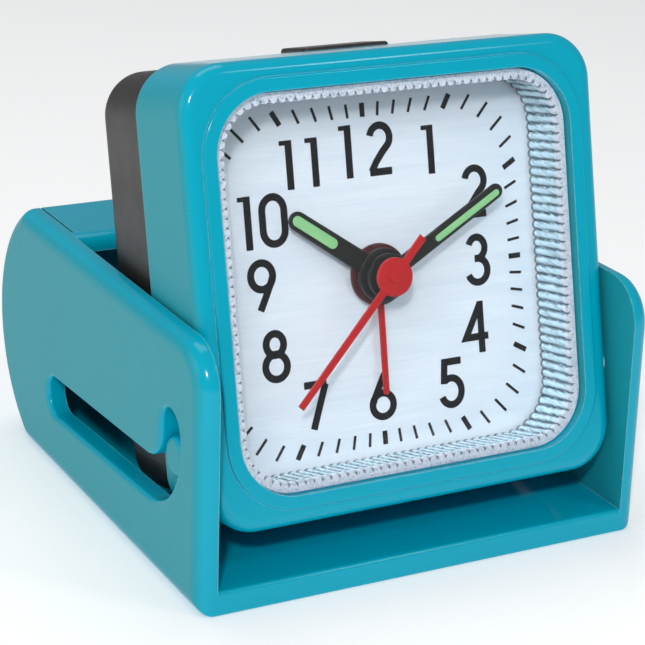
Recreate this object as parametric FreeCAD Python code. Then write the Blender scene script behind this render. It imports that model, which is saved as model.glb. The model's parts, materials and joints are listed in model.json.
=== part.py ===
import FreeCAD, Part
import math
import os
from FreeCAD import Vector

# Folding travel alarm clock. A square quartz clock leans back in an open cradle. Two side pins
# on the clock sit in J-shaped slots in the cradle's walls, so the clock folds forward, face down.
#
# Units are millimetres. The row frame has +X to the clock's right as seen from its face, +Y
# towards its back and +Z up. The origin is the middle of the cradle's underside.
# The clock itself is drawn in its own upright frame: x to the right, y from the front face
# backwards (the depth), z up, with the origin in the middle of the front face.

# ---- cradle
CRADLE_WIDTH = 68.0
CRADLE_DEPTH = 74.8
CRADLE_HEIGHT = 36.5
CRADLE_WALL = 2.85
CRADLE_FLOOR = 3.25
CRADLE_EDGE_ROUND = 2.4
CRADLE_FRONT_ROUND = 6.5
CRADLE_HEEL_ROUND = 2.6
CRADLE_CROWN_ROUND = 0.9
CRADLE_LIP_ROUND = 0.6
CRADLE_REAR_RADIUS = 21.0
BRIDGE_START = 48.8
BRIDGE_THICKNESS = 2.4
BRIDGE_NOSE_ROUND = 2.0
BRIDGE_CORNER_ROUND = 1.4
SEAM_WIDTH = 0.4
SEAM_INSET = 2.5

# ---- J-shaped slots: a straight run that drops towards the rear, then a bend up to a pocket
SLOT_HALF_WIDTH = 3.0
SLOT_BEND_RADIUS = 7.9
SLOT_BEND_Y = 17.3
SLOT_BEND_Z = 21.4
SLOT_RUN = 34.0
SLOT_DROP_ANGLE = 3.0
SLOT_POCKET_RISE = 1.2
SLOT_RIM_ROUND = 0.8

# ---- how the clock sits in the cradle
LEAN_ANGLE = 12.9
PIN_Y = 9.9
PIN_Z = 18.7
PIN_RADIUS = 2.7
PIN_END_X = 33.2
PIN_DEPTH = 6.1
PIN_HEIGHT = -19.7
PIN_END_ROUND = 0.7

# ---- clock case
CASE_HALF_WIDTH = 30.75
CASE_HALF_HEIGHT = 30.35
CASE_CORNER = 6.5
CASE_EDGE_ROUND = 1.8
CASE_WALL = 2.0
CASE_SPLIT = 14.65
BEZEL_THICKNESS = 2.2
OPENING_HALF_WIDTH = 26.4
OPENING_HALF_HEIGHT = 26.2
OPENING_CORNER = 8.0
LIP_WIDTH = 1.9
LIP_HEIGHT = 0.4
REAR_HALF_WIDTH = 29.6
REAR_HALF_HEIGHT = 29.2
REAR_CORNER = 6.0
REAR_EDGE_ROUND = 2.4
REAR_WALL = 1.7
REAR_BACK = 30.6
REAR_BACK_WALL = 1.6
CASE_SCREW_X = 24.9
CASE_SCREW_TOP_Z = 23.2
CASE_SCREW_LOW_Z = -9.3
BOSS_RADIUS = 2.4
BOSS_FRONT = 10.7
BOSS_BACK = 14.2
BOSS_WEB_BACK = 12.9
BOSS_WEB_HALF = 0.6
CASE_SCREW_RADIUS = 1.0
CASE_SCREW_HEAD_RADIUS = 1.85
CASE_SCREW_TIP = 12.4
TONGUE_GAP = 0.15
TONGUE_DEPTH = 1.5

# ---- crystal and dial
CRYSTAL_FRONT = 0.8
CRYSTAL_THICKNESS = 1.2
CRYSTAL_WALL = 1.1
CRYSTAL_GAP = 0.1
DIAL_FRONT = 9.8
DIAL_THICKNESS = 0.5
DIAL_HALF_WIDTH = 27.6
DIAL_HALF_HEIGHT = 27.4

# ---- hands: depth of each hand's front, its length from the centre and where it points,
# in degrees clockwise from twelve
CENTRE_X = 0.0
CENTRE_Z = -0.2
ALARM_HAND_DEPTH = 8.5
ALARM_HAND_LENGTH = 16.6
ALARM_HAND_ANGLE = 180.4
HOUR_HAND_DEPTH = 7.4
HOUR_HAND_LENGTH = 16.2
HOUR_HAND_ANGLE = 305.6
MINUTE_HAND_DEPTH = 5.9
MINUTE_HAND_LENGTH = 21.1
MINUTE_HAND_ANGLE = 61.6
SECOND_HAND_DEPTH = 4.1
SECOND_HAND_LENGTH = 21.9
SECOND_HAND_TAIL = 6.8
SECOND_HAND_ANGLE = 224.5
ALARM_HAND_WIDTH = 0.9
HOUR_HAND_WIDTH = 2.7
MINUTE_HAND_WIDTH = 2.1
SECOND_HAND_WIDTH = 1.0

# ---- movement housing
MOVEMENT_FRONT = 10.4
MOVEMENT_PLATE = 1.5
MOVEMENT_COVER_FRONT = 22.4
MOVEMENT_BACK = 23.6
MOVEMENT_HALF_WIDTH = 21.0
MOVEMENT_TOP = 17.2
MOVEMENT_BOTTOM = -11.6
MOVEMENT_WALL = 1.2
MIDDLE_PLATE_FRONT = 16.2
MIDDLE_PLATE_BACK = 16.8
RUNNING_GAP = 0.05

# ---- gears: teeth and modules
CANNON_TEETH = 12
MOTION_TEETH = 36
MOTION_MODULE = 0.375
MOTION_PINION_TEETH = 10
HOUR_TEETH = 40
HOUR_MODULE = 0.36
ALARM_TEETH = 40
ALARM_PINION_TEETH = 20
ALARM_MODULE = 0.3
TRAIN_PINION_TEETH = 8
THIRD_TEETH = 60
SECOND_TEETH = 60
TRAIN_MODULE = 0.22
MINUTE_DRIVE_TEETH = 64
IDLER_TEETH = 32
ROTOR_MODULE = 0.26
ADDENDUM = 0.85
DEDENDUM = 1.25
TOOTH_ROOT_HALF = 0.25
TOOTH_TIP_HALF = 0.09

# where each arbor stands: centre distances follow from the teeth
MOTION_DISTANCE = MOTION_MODULE * (CANNON_TEETH + MOTION_TEETH) / 2
ALARM_DISTANCE = ALARM_MODULE * (ALARM_TEETH + ALARM_PINION_TEETH) / 2
TRAIN_DISTANCE = TRAIN_MODULE * (TRAIN_PINION_TEETH + THIRD_TEETH) / 2
MINUTE_DRIVE_MODULE = 2 * TRAIN_DISTANCE / (TRAIN_PINION_TEETH + MINUTE_DRIVE_TEETH)
ROTOR_DISTANCE = ROTOR_MODULE * (IDLER_TEETH + TRAIN_PINION_TEETH) / 2
MOTION_BEARING = 150.0
ALARM_BEARING = 30.0
THIRD_BEARING = 90.0
IDLER_BEARING = -30.0
ROTOR_BEARING = 0.0

# ---- battery: one AA cell lying across the bottom of the case
CELL_RADIUS = 7.1
CELL_START_X = -24.2
CELL_SHOULDER_X = 25.0
CELL_NUB_X = 26.2
CELL_DEPTH = 21.0
CELL_Z = -19.5
DOOR_HALF_WIDTH = 26.0
DOOR_HALF_HEIGHT = 6.9
DOOR_GAP = 0.3

# ---- controls
KNOB_RADIUS = 5.2
KNOB_FRONT = 27.6
KNOB_BACK = 30.3
KNOB_WELL_HALF_WIDTH = 15.8
KNOB_WELL_LOW_Z = -2.2
KNOB_WELL_TOP_Z = 10.2
KNOB_WELL_FLOOR = 27.1
KNOB_WELL_WALL = 1.4
KNOB_WELL_CORNER = 2.0
KNOB_FLUTES = 20
KNOB_FLUTE_DEPTH = 0.35
KNOB_DISH_RADIUS = 3.2
KNOB_ARBOR_RADIUS = 0.8
BUTTON_X = 1.9
BUTTON_HALF_WIDTH = 6.7
BUTTON_FRONT = 16.3
BUTTON_BACK = 24.2
BUTTON_TOP_Z = 30.75
BUTTON_GAP = 0.3
BUTTON_CORNER = 0.9
BUTTON_EDGE_ROUND = 0.5
BUTTON_FLANGE = 0.8
BUTTON_TRAVEL = 1.2
SWITCH_X = 21.5
SWITCH_Z = 2.0
SWITCH_TRAVEL = 4.0
BUZZER_Z = 19.2
BUZZER_RADIUS = 7.4
BUZZER_FRONT = 25.4
SOUND_HOLE_RADIUS = 0.8
SOUND_HOLES = 6
SOUND_RING_RADIUS = 3.6


def polar(origin, distance, bearing):
    """The point at a distance and bearing, in degrees up from +x, from an (x, z) origin."""
    angle = math.radians(bearing)
    return (origin[0] + distance * math.cos(angle), origin[1] + distance * math.sin(angle))


CENTRE = (CENTRE_X, CENTRE_Z)
MOTION_AXIS = polar(CENTRE, MOTION_DISTANCE, MOTION_BEARING)
ALARM_AXIS = polar(CENTRE, ALARM_DISTANCE, ALARM_BEARING)
THIRD_AXIS = polar(CENTRE, TRAIN_DISTANCE, THIRD_BEARING)
IDLER_AXIS = polar(CENTRE, TRAIN_DISTANCE, IDLER_BEARING)
ROTOR_AXIS = polar(IDLER_AXIS, ROTOR_DISTANCE, ROTOR_BEARING)


# ---------------------------------------------------------------- drawing helpers

def block(x0, x1, y0, y1, z0, z1):
    return Part.makeBox(x1 - x0, y1 - y0, z1 - z0, Vector(x0, y0, z0))


def rounded_slab(half_width, half_height, corner, front, back, x=0.0, z=0.0):
    """A slab facing along y whose four corners, seen from the front, are rounded."""
    slab = block(x - half_width, x + half_width, front, back, z - half_height, z + half_height)
    corners = [edge for edge in slab.Edges if abs(edge.tangentAt(edge.FirstParameter).y) > 0.99]
    return slab.makeFillet(corner, corners)


def rod(radius, front, back, axis=(0.0, 0.0)):
    """A round rod along y, centred on axis = (x, z)."""
    return Part.makeCylinder(radius, back - front, Vector(axis[0], front, axis[1]), Vector(0, 1, 0))


def cross_rod(radius, x0, x1, y, z):
    """A round rod along x."""
    return Part.makeCylinder(radius, x1 - x0, Vector(x0, y, z), Vector(1, 0, 0))


def fuse(shapes):
    joined = shapes[0].multiFuse(shapes[1:])
    return joined.removeSplitter()


def prism(points, front, back):
    """A prism along y over a closed outline of (x, z) points."""
    corners = [Vector(x, front, z) for x, z in points]
    face = Part.Face(Part.makePolygon(corners + corners[:1]))
    return face.extrude(Vector(0, back - front, 0))


def gear(teeth, module, front, back, axis, bearing, gap=False):
    """A spur gear whose tooth, or the gap between two teeth, points along the bearing."""
    step = 360.0 / teeth
    root = module * (teeth / 2 - DEDENDUM)
    tip = module * (teeth / 2 + ADDENDUM)
    first = bearing + (step / 2 if gap else 0.0)
    points = []
    for index in range(teeth):
        middle = first + index * step
        points.append(polar(axis, root, middle - TOOTH_ROOT_HALF * step))
        points.append(polar(axis, tip, middle - TOOTH_TIP_HALF * step))
        points.append(polar(axis, tip, middle + TOOTH_TIP_HALF * step))
        points.append(polar(axis, root, middle + TOOTH_ROOT_HALF * step))
    return prism(points, front, back)


def fluted_disc(radius, flutes, depth, front, back, axis):
    """A knob's grip: a disc with shallow flutes round its edge."""
    step = 360.0 / flutes
    points = []
    for index in range(flutes):
        points.append(polar(axis, radius, index * step))
        points.append(polar(axis, radius, (index + 0.4) * step))
        points.append(polar(axis, radius - depth, (index + 0.55) * step))
        points.append(polar(axis, radius - depth, (index + 0.85) * step))
    return prism(points, front, back)


def edges_along_y_plane(shape, depth):
    """The edges that lie wholly at one depth."""
    return [
        edge for edge in shape.Edges
        if all(abs(vertex.Point.y - depth) < 1e-6 for vertex in edge.Vertexes)
        and abs(edge.CenterOfMass.y - depth) < 1e-6
    ]


def edges_at_x(shape, x):
    """The edges that lie wholly in the plane at x."""
    return [
        edge for edge in shape.Edges
        if abs(edge.BoundBox.XMin - x) < 1e-4 and abs(edge.BoundBox.XMax - x) < 1e-4
    ]


def edges_along_x(shape, y, z):
    """The edges parallel to x that pass through (y, z)."""
    return [
        edge for edge in shape.Edges
        if abs(edge.CenterOfMass.y - y) < 1e-3 and abs(edge.CenterOfMass.z - z) < 1e-3
        and edge.BoundBox.YLength < 1e-3 and edge.BoundBox.ZLength < 1e-3
    ]


# ---------------------------------------------------------------- cradle

def cradle_side(front, rear_radius, low, top, x0, x1):
    """The cradle's side outline, with its round rear, extruded from x0 to x1."""
    middle = CRADLE_HEIGHT / 2
    arc_y = CRADLE_DEPTH - CRADLE_REAR_RADIUS
    low_y = arc_y + math.sqrt(rear_radius ** 2 - (middle - low) ** 2)
    top_y = arc_y + math.sqrt(rear_radius ** 2 - (top - middle) ** 2)
    rear = Part.Arc(
        Vector(x0, low_y, low), Vector(x0, arc_y + rear_radius, middle), Vector(x0, top_y, top)
    )
    edges = [
        Part.makeLine(Vector(x0, front, low), Vector(x0, low_y, low)),
        rear.toShape(),
        Part.makeLine(Vector(x0, top_y, top), Vector(x0, front, top)),
        Part.makeLine(Vector(x0, front, top), Vector(x0, front, low)),
    ]
    solid = Part.Face(Part.Wire(edges)).extrude(Vector(x1 - x0, 0, 0))
    return solid, low_y, top_y


def slot_cutter(x0, x1):
    """The J-shaped slot: straight run, bend and pocket, all of one width."""
    drop = math.radians(SLOT_DROP_ANGLE)
    outer = SLOT_BEND_RADIUS + SLOT_HALF_WIDTH
    inner = SLOT_BEND_RADIUS - SLOT_HALF_WIDTH
    pocket_z = SLOT_BEND_Z + SLOT_POCKET_RISE

    def on_bend(radius, angle):
        return Vector(
            x0, SLOT_BEND_Y - radius * math.sin(angle), SLOT_BEND_Z - radius * math.cos(angle)
        )

    def along_run(radius, distance):
        return on_bend(radius, drop) + Vector(0, math.cos(drop), -math.sin(drop)) * distance

    half_turn = (drop + math.pi / 2) / 2
    rear = along_run(SLOT_BEND_RADIUS, SLOT_RUN + SLOT_HALF_WIDTH)
    pocket_top = Vector(x0, SLOT_BEND_Y - SLOT_BEND_RADIUS, pocket_z + SLOT_HALF_WIDTH)
    pocket_front = Vector(x0, SLOT_BEND_Y - outer, pocket_z)
    pocket_back = Vector(x0, SLOT_BEND_Y - inner, pocket_z)
    outline = [
        Part.makeLine(along_run(outer, 0), along_run(outer, SLOT_RUN)),
        Part.Arc(along_run(outer, SLOT_RUN), rear, along_run(inner, SLOT_RUN)).toShape(),
        Part.makeLine(along_run(inner, SLOT_RUN), along_run(inner, 0)),
        Part.Arc(
            along_run(inner, 0), on_bend(inner, half_turn), on_bend(inner, math.pi / 2)
        ).toShape(),
        Part.makeLine(on_bend(inner, math.pi / 2), pocket_back),
        Part.Arc(pocket_back, pocket_top, pocket_front).toShape(),
        Part.makeLine(pocket_front, on_bend(outer, math.pi / 2)),
        Part.Arc(
            on_bend(outer, math.pi / 2), on_bend(outer, half_turn), along_run(outer, 0)
        ).toShape(),
    ]
    return Part.Face(Part.Wire(outline)).extrude(Vector(x1 - x0, 0, 0))


def slot_rims(body, half):
    """The slots' outlines on the cradle's two outer side faces."""
    rims = edges_at_x(body, -half) + edges_at_x(body, half)
    return [
        edge for edge in rims
        if CRADLE_FRONT_ROUND / 2 < edge.CenterOfMass.y < CRADLE_DEPTH - CRADLE_REAR_RADIUS + 5
        and 2 * CRADLE_EDGE_ROUND < edge.CenterOfMass.z < CRADLE_HEIGHT - 2 * CRADLE_EDGE_ROUND
    ]


def make_cradle():
    half = CRADLE_WIDTH / 2
    inner = half - CRADLE_WALL
    body, heel_y, crown_y = cradle_side(
        0, CRADLE_REAR_RADIUS, 0, CRADLE_HEIGHT, -half, half
    )
    body = body.makeFillet(CRADLE_FRONT_ROUND, edges_along_x(body, 0, CRADLE_HEIGHT))
    body = body.makeFillet(CRADLE_HEEL_ROUND, edges_along_x(body, heel_y, 0))
    body = body.makeFillet(CRADLE_CROWN_ROUND, edges_along_x(body, crown_y, CRADLE_HEIGHT))
    rims = edges_at_x(body, -half) + edges_at_x(body, half)
    body = body.makeFillet(CRADLE_EDGE_ROUND, rims)
    ceiling = CRADLE_HEIGHT - BRIDGE_THICKNESS
    hollow, _, _ = cradle_side(
        -5, CRADLE_REAR_RADIUS - CRADLE_WALL, CRADLE_FLOOR, ceiling, -inner, inner
    )
    mouth = block(-inner, inner, -5, BRIDGE_START, ceiling - 2, CRADLE_HEIGHT + 5)
    corners = [
        edge for edge in mouth.Edges
        if abs(edge.CenterOfMass.y - BRIDGE_START) < 1e-3 and edge.BoundBox.XLength < 1e-3
    ]
    mouth = mouth.makeFillet(BRIDGE_CORNER_ROUND, corners)
    body = body.cut(hollow).cut(mouth)
    nose_y = BRIDGE_START + BRIDGE_NOSE_ROUND
    nose_z = CRADLE_HEIGHT - BRIDGE_NOSE_ROUND
    nose = block(-inner, inner, BRIDGE_START - 1, nose_y, nose_z, CRADLE_HEIGHT + 1)
    nose = nose.cut(cross_rod(BRIDGE_NOSE_ROUND, -inner, inner, nose_y, nose_z))
    body = body.cut(nose)
    for side in (-1, 1):
        seam = block(
            -SEAM_WIDTH / 2, SEAM_WIDTH / 2, BRIDGE_START + SEAM_INSET, CRADLE_DEPTH,
            CRADLE_HEIGHT - SEAM_WIDTH, CRADLE_HEIGHT + 1,
        )
        seam.translate(Vector(side * (inner - 0.5), 0, 0))
        body = body.cut(seam)
        start = inner - 1 if side > 0 else -half - 1
        body = body.cut(slot_cutter(start, start + CRADLE_WALL + 2))
    body = body.makeFillet(SLOT_RIM_ROUND, slot_rims(body, half))
    return body.makeFillet(CRADLE_LIP_ROUND, edges_along_x(body, 0, CRADLE_FLOOR))


# ---------------------------------------------------------------- clock case

def shell_corner(corner, inset):
    return max(corner - inset, 1.0)


def make_front_case():
    """Front half of the case: bezel, raised lip, side walls, screw bosses and the two pins."""
    body = rounded_slab(CASE_HALF_WIDTH, CASE_HALF_HEIGHT, CASE_CORNER, 0, CASE_SPLIT)
    body = body.makeFillet(CASE_EDGE_ROUND, edges_along_y_plane(body, 0))
    lip = rounded_slab(
        OPENING_HALF_WIDTH + LIP_WIDTH, OPENING_HALF_HEIGHT + LIP_WIDTH,
        OPENING_CORNER + LIP_WIDTH, -LIP_HEIGHT, BEZEL_THICKNESS,
    )
    lip = lip.makeFillet(LIP_HEIGHT * 0.9, edges_along_y_plane(lip, -LIP_HEIGHT))
    hollow = rounded_slab(
        CASE_HALF_WIDTH - CASE_WALL, CASE_HALF_HEIGHT - CASE_WALL,
        shell_corner(CASE_CORNER, CASE_WALL), BEZEL_THICKNESS, CASE_SPLIT + 1,
    )
    opening = rounded_slab(
        OPENING_HALF_WIDTH, OPENING_HALF_HEIGHT, OPENING_CORNER, -1, BEZEL_THICKNESS + 1
    )
    body = fuse([body, lip]).cut(hollow).cut(opening)
    pieces = [body]
    for side in (-1, 1):
        for z in (CASE_SCREW_TOP_Z, CASE_SCREW_LOW_Z):
            x = side * CASE_SCREW_X
            pieces.append(rod(BOSS_RADIUS, BOSS_FRONT, BOSS_BACK, (x, z)))
            wall = side * (CASE_HALF_WIDTH - CASE_WALL / 2)
            pieces.append(block(
                min(x, wall), max(x, wall), BOSS_FRONT, BOSS_WEB_BACK,
                z - BOSS_WEB_HALF, z + BOSS_WEB_HALF,
            ))
        start = CASE_HALF_WIDTH - 1 if side > 0 else -PIN_END_X
        pin = cross_rod(PIN_RADIUS, start, start + PIN_END_X - CASE_HALF_WIDTH + 1, PIN_DEPTH, PIN_HEIGHT)
        pieces.append(pin.makeFillet(PIN_END_ROUND, edges_at_x(pin, side * PIN_END_X)))
    body = fuse(pieces)
    for side in (-1, 1):
        for z in (CASE_SCREW_TOP_Z, CASE_SCREW_LOW_Z):
            hole = rod(
                CASE_SCREW_RADIUS + RUNNING_GAP, CASE_SCREW_TIP - 0.4, CASE_SPLIT + 1,
                (side * CASE_SCREW_X, z),
            )
            body = body.cut(hole)
    return body


def make_rear_case():
    """Rear half: side and back walls, a well for the knobs, screw bosses and the openings."""
    body = rounded_slab(REAR_HALF_WIDTH, REAR_HALF_HEIGHT, REAR_CORNER, CASE_SPLIT, REAR_BACK)
    body = body.makeFillet(REAR_EDGE_ROUND, edges_along_y_plane(body, REAR_BACK))
    tongue = rounded_slab(
        CASE_HALF_WIDTH - CASE_WALL - TONGUE_GAP, CASE_HALF_HEIGHT - CASE_WALL - TONGUE_GAP,
        shell_corner(CASE_CORNER, CASE_WALL + TONGUE_GAP), CASE_SPLIT - TONGUE_DEPTH, CASE_SPLIT + 1,
    )
    hollow = rounded_slab(
        REAR_HALF_WIDTH - REAR_WALL, REAR_HALF_HEIGHT - REAR_WALL,
        shell_corner(REAR_CORNER, REAR_WALL), CASE_SPLIT - 3, REAR_BACK - REAR_BACK_WALL,
    )
    body = fuse([body, tongue]).cut(hollow)
    well_z = (KNOB_WELL_LOW_Z + KNOB_WELL_TOP_Z) / 2
    well_half = (KNOB_WELL_TOP_Z - KNOB_WELL_LOW_Z) / 2
    tub = rounded_slab(
        KNOB_WELL_HALF_WIDTH + KNOB_WELL_WALL, well_half + KNOB_WELL_WALL,
        KNOB_WELL_CORNER + KNOB_WELL_WALL, KNOB_WELL_FLOOR - KNOB_WELL_WALL, REAR_BACK - 0.5, 0, well_z,
    )
    pieces = [body, tub]
    for side in (-1, 1):
        for z in (CASE_SCREW_TOP_Z, CASE_SCREW_LOW_Z):
            pieces.append(rod(BOSS_RADIUS, CASE_SPLIT - 0.05, REAR_BACK - 0.5, (side * CASE_SCREW_X, z)))
    body = fuse(pieces)
    well = rounded_slab(
        KNOB_WELL_HALF_WIDTH, well_half, KNOB_WELL_CORNER, KNOB_WELL_FLOOR, REAR_BACK + 1, 0, well_z
    )
    cuts = [
        well,
        rod(2 * KNOB_ARBOR_RADIUS, MOVEMENT_BACK, REAR_BACK, MOTION_AXIS),
        rod(2 * KNOB_ARBOR_RADIUS, MOVEMENT_BACK, REAR_BACK, ALARM_AXIS),
        rounded_slab(
            DOOR_HALF_WIDTH + DOOR_GAP, DOOR_HALF_HEIGHT + DOOR_GAP, 1.5,
            REAR_BACK - 3, REAR_BACK + 1, 0, CELL_Z,
        ),
        rounded_slab(
            1.3, (SWITCH_TRAVEL + 4.2) / 2, 1.0, REAR_BACK - 3, REAR_BACK + 1,
            SWITCH_X, SWITCH_Z + SWITCH_TRAVEL / 2,
        ),
        block(
            BUTTON_X - BUTTON_HALF_WIDTH - BUTTON_GAP, BUTTON_X + BUTTON_HALF_WIDTH + BUTTON_GAP,
            BUTTON_FRONT - BUTTON_GAP, BUTTON_BACK + BUTTON_GAP,
            REAR_HALF_HEIGHT - 3, REAR_HALF_HEIGHT + 1,
        ),
        rod(SOUND_HOLE_RADIUS, REAR_BACK - 3, REAR_BACK + 1, (0, BUZZER_Z)),
    ]
    for index in range(SOUND_HOLES):
        hole = polar((0, BUZZER_Z), SOUND_RING_RADIUS, 360 / SOUND_HOLES * index)
        cuts.append(rod(SOUND_HOLE_RADIUS, REAR_BACK - 3, REAR_BACK + 1, hole))
    for side in (-1, 1):
        for z in (CASE_SCREW_TOP_Z, CASE_SCREW_LOW_Z):
            axis = (side * CASE_SCREW_X, z)
            cuts.append(rod(1.1, 14, REAR_BACK + 1, axis))
            cuts.append(rod(2.0, REAR_BACK - 2.6, REAR_BACK + 1, axis))
    for cutter in cuts:
        body = body.cut(cutter)
    return body


def make_crystal():
    """Clear window with a deep side wall that reaches back to the dial."""
    half_width = OPENING_HALF_WIDTH - CRYSTAL_GAP
    half_height = OPENING_HALF_HEIGHT - CRYSTAL_GAP
    corner = OPENING_CORNER - CRYSTAL_GAP
    body = rounded_slab(half_width, half_height, corner, CRYSTAL_FRONT, DIAL_FRONT - CRYSTAL_GAP)
    hollow = rounded_slab(
        half_width - CRYSTAL_WALL, half_height - CRYSTAL_WALL, corner - CRYSTAL_WALL,
        CRYSTAL_FRONT + CRYSTAL_THICKNESS, DIAL_FRONT + 1,
    )
    return body.cut(hollow)


def make_dial():
    body = rounded_slab(
        DIAL_HALF_WIDTH, DIAL_HALF_HEIGHT, 4.0, DIAL_FRONT, DIAL_FRONT + DIAL_THICKNESS
    )
    return body.cut(rod(2.6, DIAL_FRONT - 1, DIAL_FRONT + 2, CENTRE))


def case_screw(axis):
    head = rod(CASE_SCREW_HEAD_RADIUS, REAR_BACK - 2.5, REAR_BACK - 1.2, axis)
    shank = rod(CASE_SCREW_RADIUS, CASE_SCREW_TIP, REAR_BACK - 2.0, axis)
    cross = fuse([
        block(axis[0] - 1.1, axis[0] + 1.1, REAR_BACK - 1.8, REAR_BACK, axis[1] - 0.2, axis[1] + 0.2),
        block(axis[0] - 0.2, axis[0] + 0.2, REAR_BACK - 1.8, REAR_BACK, axis[1] - 1.1, axis[1] + 1.1),
    ])
    return fuse([head, shank]).cut(cross)


def make_case_screws():
    heights = (CASE_SCREW_TOP_Z, CASE_SCREW_LOW_Z)
    return Part.makeCompound([
        case_screw((side * CASE_SCREW_X, z)) for side in (-1, 1) for z in heights
    ])


# ---------------------------------------------------------------- hands and their wheels

def straight_hand(length, width, hub_radius, depth, thickness, angle, tail=0.0):
    """A straight hand that turns about the centre, angle clockwise. Without a tail its tip is round."""
    half = width / 2
    back = depth + thickness
    bottom = CENTRE_Z - tail
    if tail > 0:
        blade = block(CENTRE_X - half, CENTRE_X + half, depth, back, bottom, CENTRE_Z + length)
    else:
        tip = (CENTRE_X, CENTRE_Z + length - half)
        blade = block(CENTRE_X - half, CENTRE_X + half, depth, back, bottom, tip[1])
        blade = fuse([blade, rod(half, depth, back, tip)])
    blade.rotate(Vector(CENTRE_X, 0, CENTRE_Z), Vector(0, 1, 0), angle)
    return fuse([blade, rod(hub_radius, depth, back, CENTRE)])


def make_second_hand():
    hand = straight_hand(
        SECOND_HAND_LENGTH, SECOND_HAND_WIDTH, 2.65, SECOND_HAND_DEPTH, 0.4,
        SECOND_HAND_ANGLE, SECOND_HAND_TAIL,
    )
    cap = rod(1.0, SECOND_HAND_DEPTH - 0.3, SECOND_HAND_DEPTH, CENTRE)
    return fuse([hand, cap]).cut(rod(0.5, SECOND_HAND_DEPTH + 0.1, SECOND_HAND_DEPTH + 1, CENTRE))


def make_second_arbor():
    """Seconds arbor: the long centre shaft with its wheel and the pinion that drives the third."""
    return fuse([
        rod(0.5, SECOND_HAND_DEPTH + 0.1, 22.9, CENTRE),
        gear(TRAIN_PINION_TEETH, TRAIN_MODULE, 18.1, 18.9, CENTRE, THIRD_BEARING),
        gear(SECOND_TEETH, TRAIN_MODULE, 19.2, 19.8, CENTRE, IDLER_BEARING),
    ])


def make_minute_hand():
    hand = straight_hand(
        MINUTE_HAND_LENGTH, MINUTE_HAND_WIDTH, 3.1, MINUTE_HAND_DEPTH, 0.5, MINUTE_HAND_ANGLE
    )
    boss = rod(2.2, MINUTE_HAND_DEPTH - 0.5, MINUTE_HAND_DEPTH, CENTRE)
    return fuse([hand, boss]).cut(rod(1.1, MINUTE_HAND_DEPTH - 1, MINUTE_HAND_DEPTH + 1, CENTRE))


def make_minute_arbor():
    """Cannon pinion: the minute hand's pipe with the pinion that turns the motion wheel."""
    body = fuse([
        rod(1.1, MINUTE_HAND_DEPTH - 0.4, 17.8, CENTRE),
        gear(CANNON_TEETH, MOTION_MODULE, 14.7, 15.9, CENTRE, MOTION_BEARING),
    ])
    return body.cut(rod(0.5 + RUNNING_GAP, 0, 20, CENTRE))


def make_minute_drive_wheel():
    body = gear(
        MINUTE_DRIVE_TEETH, MINUTE_DRIVE_MODULE, 17.1, 17.7, CENTRE, THIRD_BEARING, gap=True
    )
    return body.cut(rod(1.1 + RUNNING_GAP, 16, 19, CENTRE))


def make_third_wheel():
    """Third wheel and pinion: sixty to one in two steps from seconds to minutes."""
    return fuse([
        rod(0.35, MIDDLE_PLATE_FRONT + 0.1, 22.9, THIRD_AXIS),
        gear(TRAIN_PINION_TEETH, MINUTE_DRIVE_MODULE, 17.0, 17.9, THIRD_AXIS, THIRD_BEARING + 180),
        gear(THIRD_TEETH, TRAIN_MODULE, 18.2, 18.8, THIRD_AXIS, THIRD_BEARING + 180, gap=True),
    ])


def make_intermediate_wheel():
    return fuse([
        rod(0.35, MIDDLE_PLATE_FRONT + 0.1, 22.9, IDLER_AXIS),
        gear(
            TRAIN_PINION_TEETH, TRAIN_MODULE, 19.1, 19.9, IDLER_AXIS, IDLER_BEARING + 180, gap=True
        ),
        gear(IDLER_TEETH, ROTOR_MODULE, 20.3, 20.9, IDLER_AXIS, ROTOR_BEARING),
    ])


def make_rotor():
    """Stepping motor's rotor: a round magnet on an arbor with the first pinion."""
    return fuse([
        rod(0.35, MIDDLE_PLATE_FRONT + 0.1, 22.9, ROTOR_AXIS),
        rod(2.0, 17.2, 19.8, ROTOR_AXIS),
        gear(
            TRAIN_PINION_TEETH, ROTOR_MODULE, 20.2, 21.0, ROTOR_AXIS, ROTOR_BEARING + 180, gap=True
        ),
    ])


def make_hour_hand():
    hand = straight_hand(
        HOUR_HAND_LENGTH, HOUR_HAND_WIDTH, 3.7, HOUR_HAND_DEPTH, 0.5, HOUR_HAND_ANGLE
    )
    return hand.cut(rod(1.7, HOUR_HAND_DEPTH - 1, HOUR_HAND_DEPTH + 1, CENTRE))


def make_hour_wheel():
    body = fuse([
        rod(1.7, HOUR_HAND_DEPTH - 0.2, 14.3, CENTRE),
        gear(HOUR_TEETH, HOUR_MODULE, 13.6, 14.3, CENTRE, MOTION_BEARING),
    ])
    return body.cut(rod(1.1 + RUNNING_GAP, 0, 20, CENTRE))


def make_alarm_hand():
    hand = straight_hand(
        ALARM_HAND_LENGTH, ALARM_HAND_WIDTH, 4.25, ALARM_HAND_DEPTH, 0.4, ALARM_HAND_ANGLE
    )
    skirt = rod(3.9, ALARM_HAND_DEPTH + 0.2, DIAL_FRONT - 0.3, CENTRE)
    return fuse([hand, skirt]).cut(rod(2.3, ALARM_HAND_DEPTH - 1, DIAL_FRONT, CENTRE))


def make_alarm_wheel():
    body = fuse([
        rod(2.3, ALARM_HAND_DEPTH - 0.2, 13.3, CENTRE),
        gear(ALARM_TEETH, ALARM_MODULE, 12.6, 13.3, CENTRE, ALARM_BEARING),
    ])
    return body.cut(rod(1.7 + RUNNING_GAP, 0, 20, CENTRE))


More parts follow.
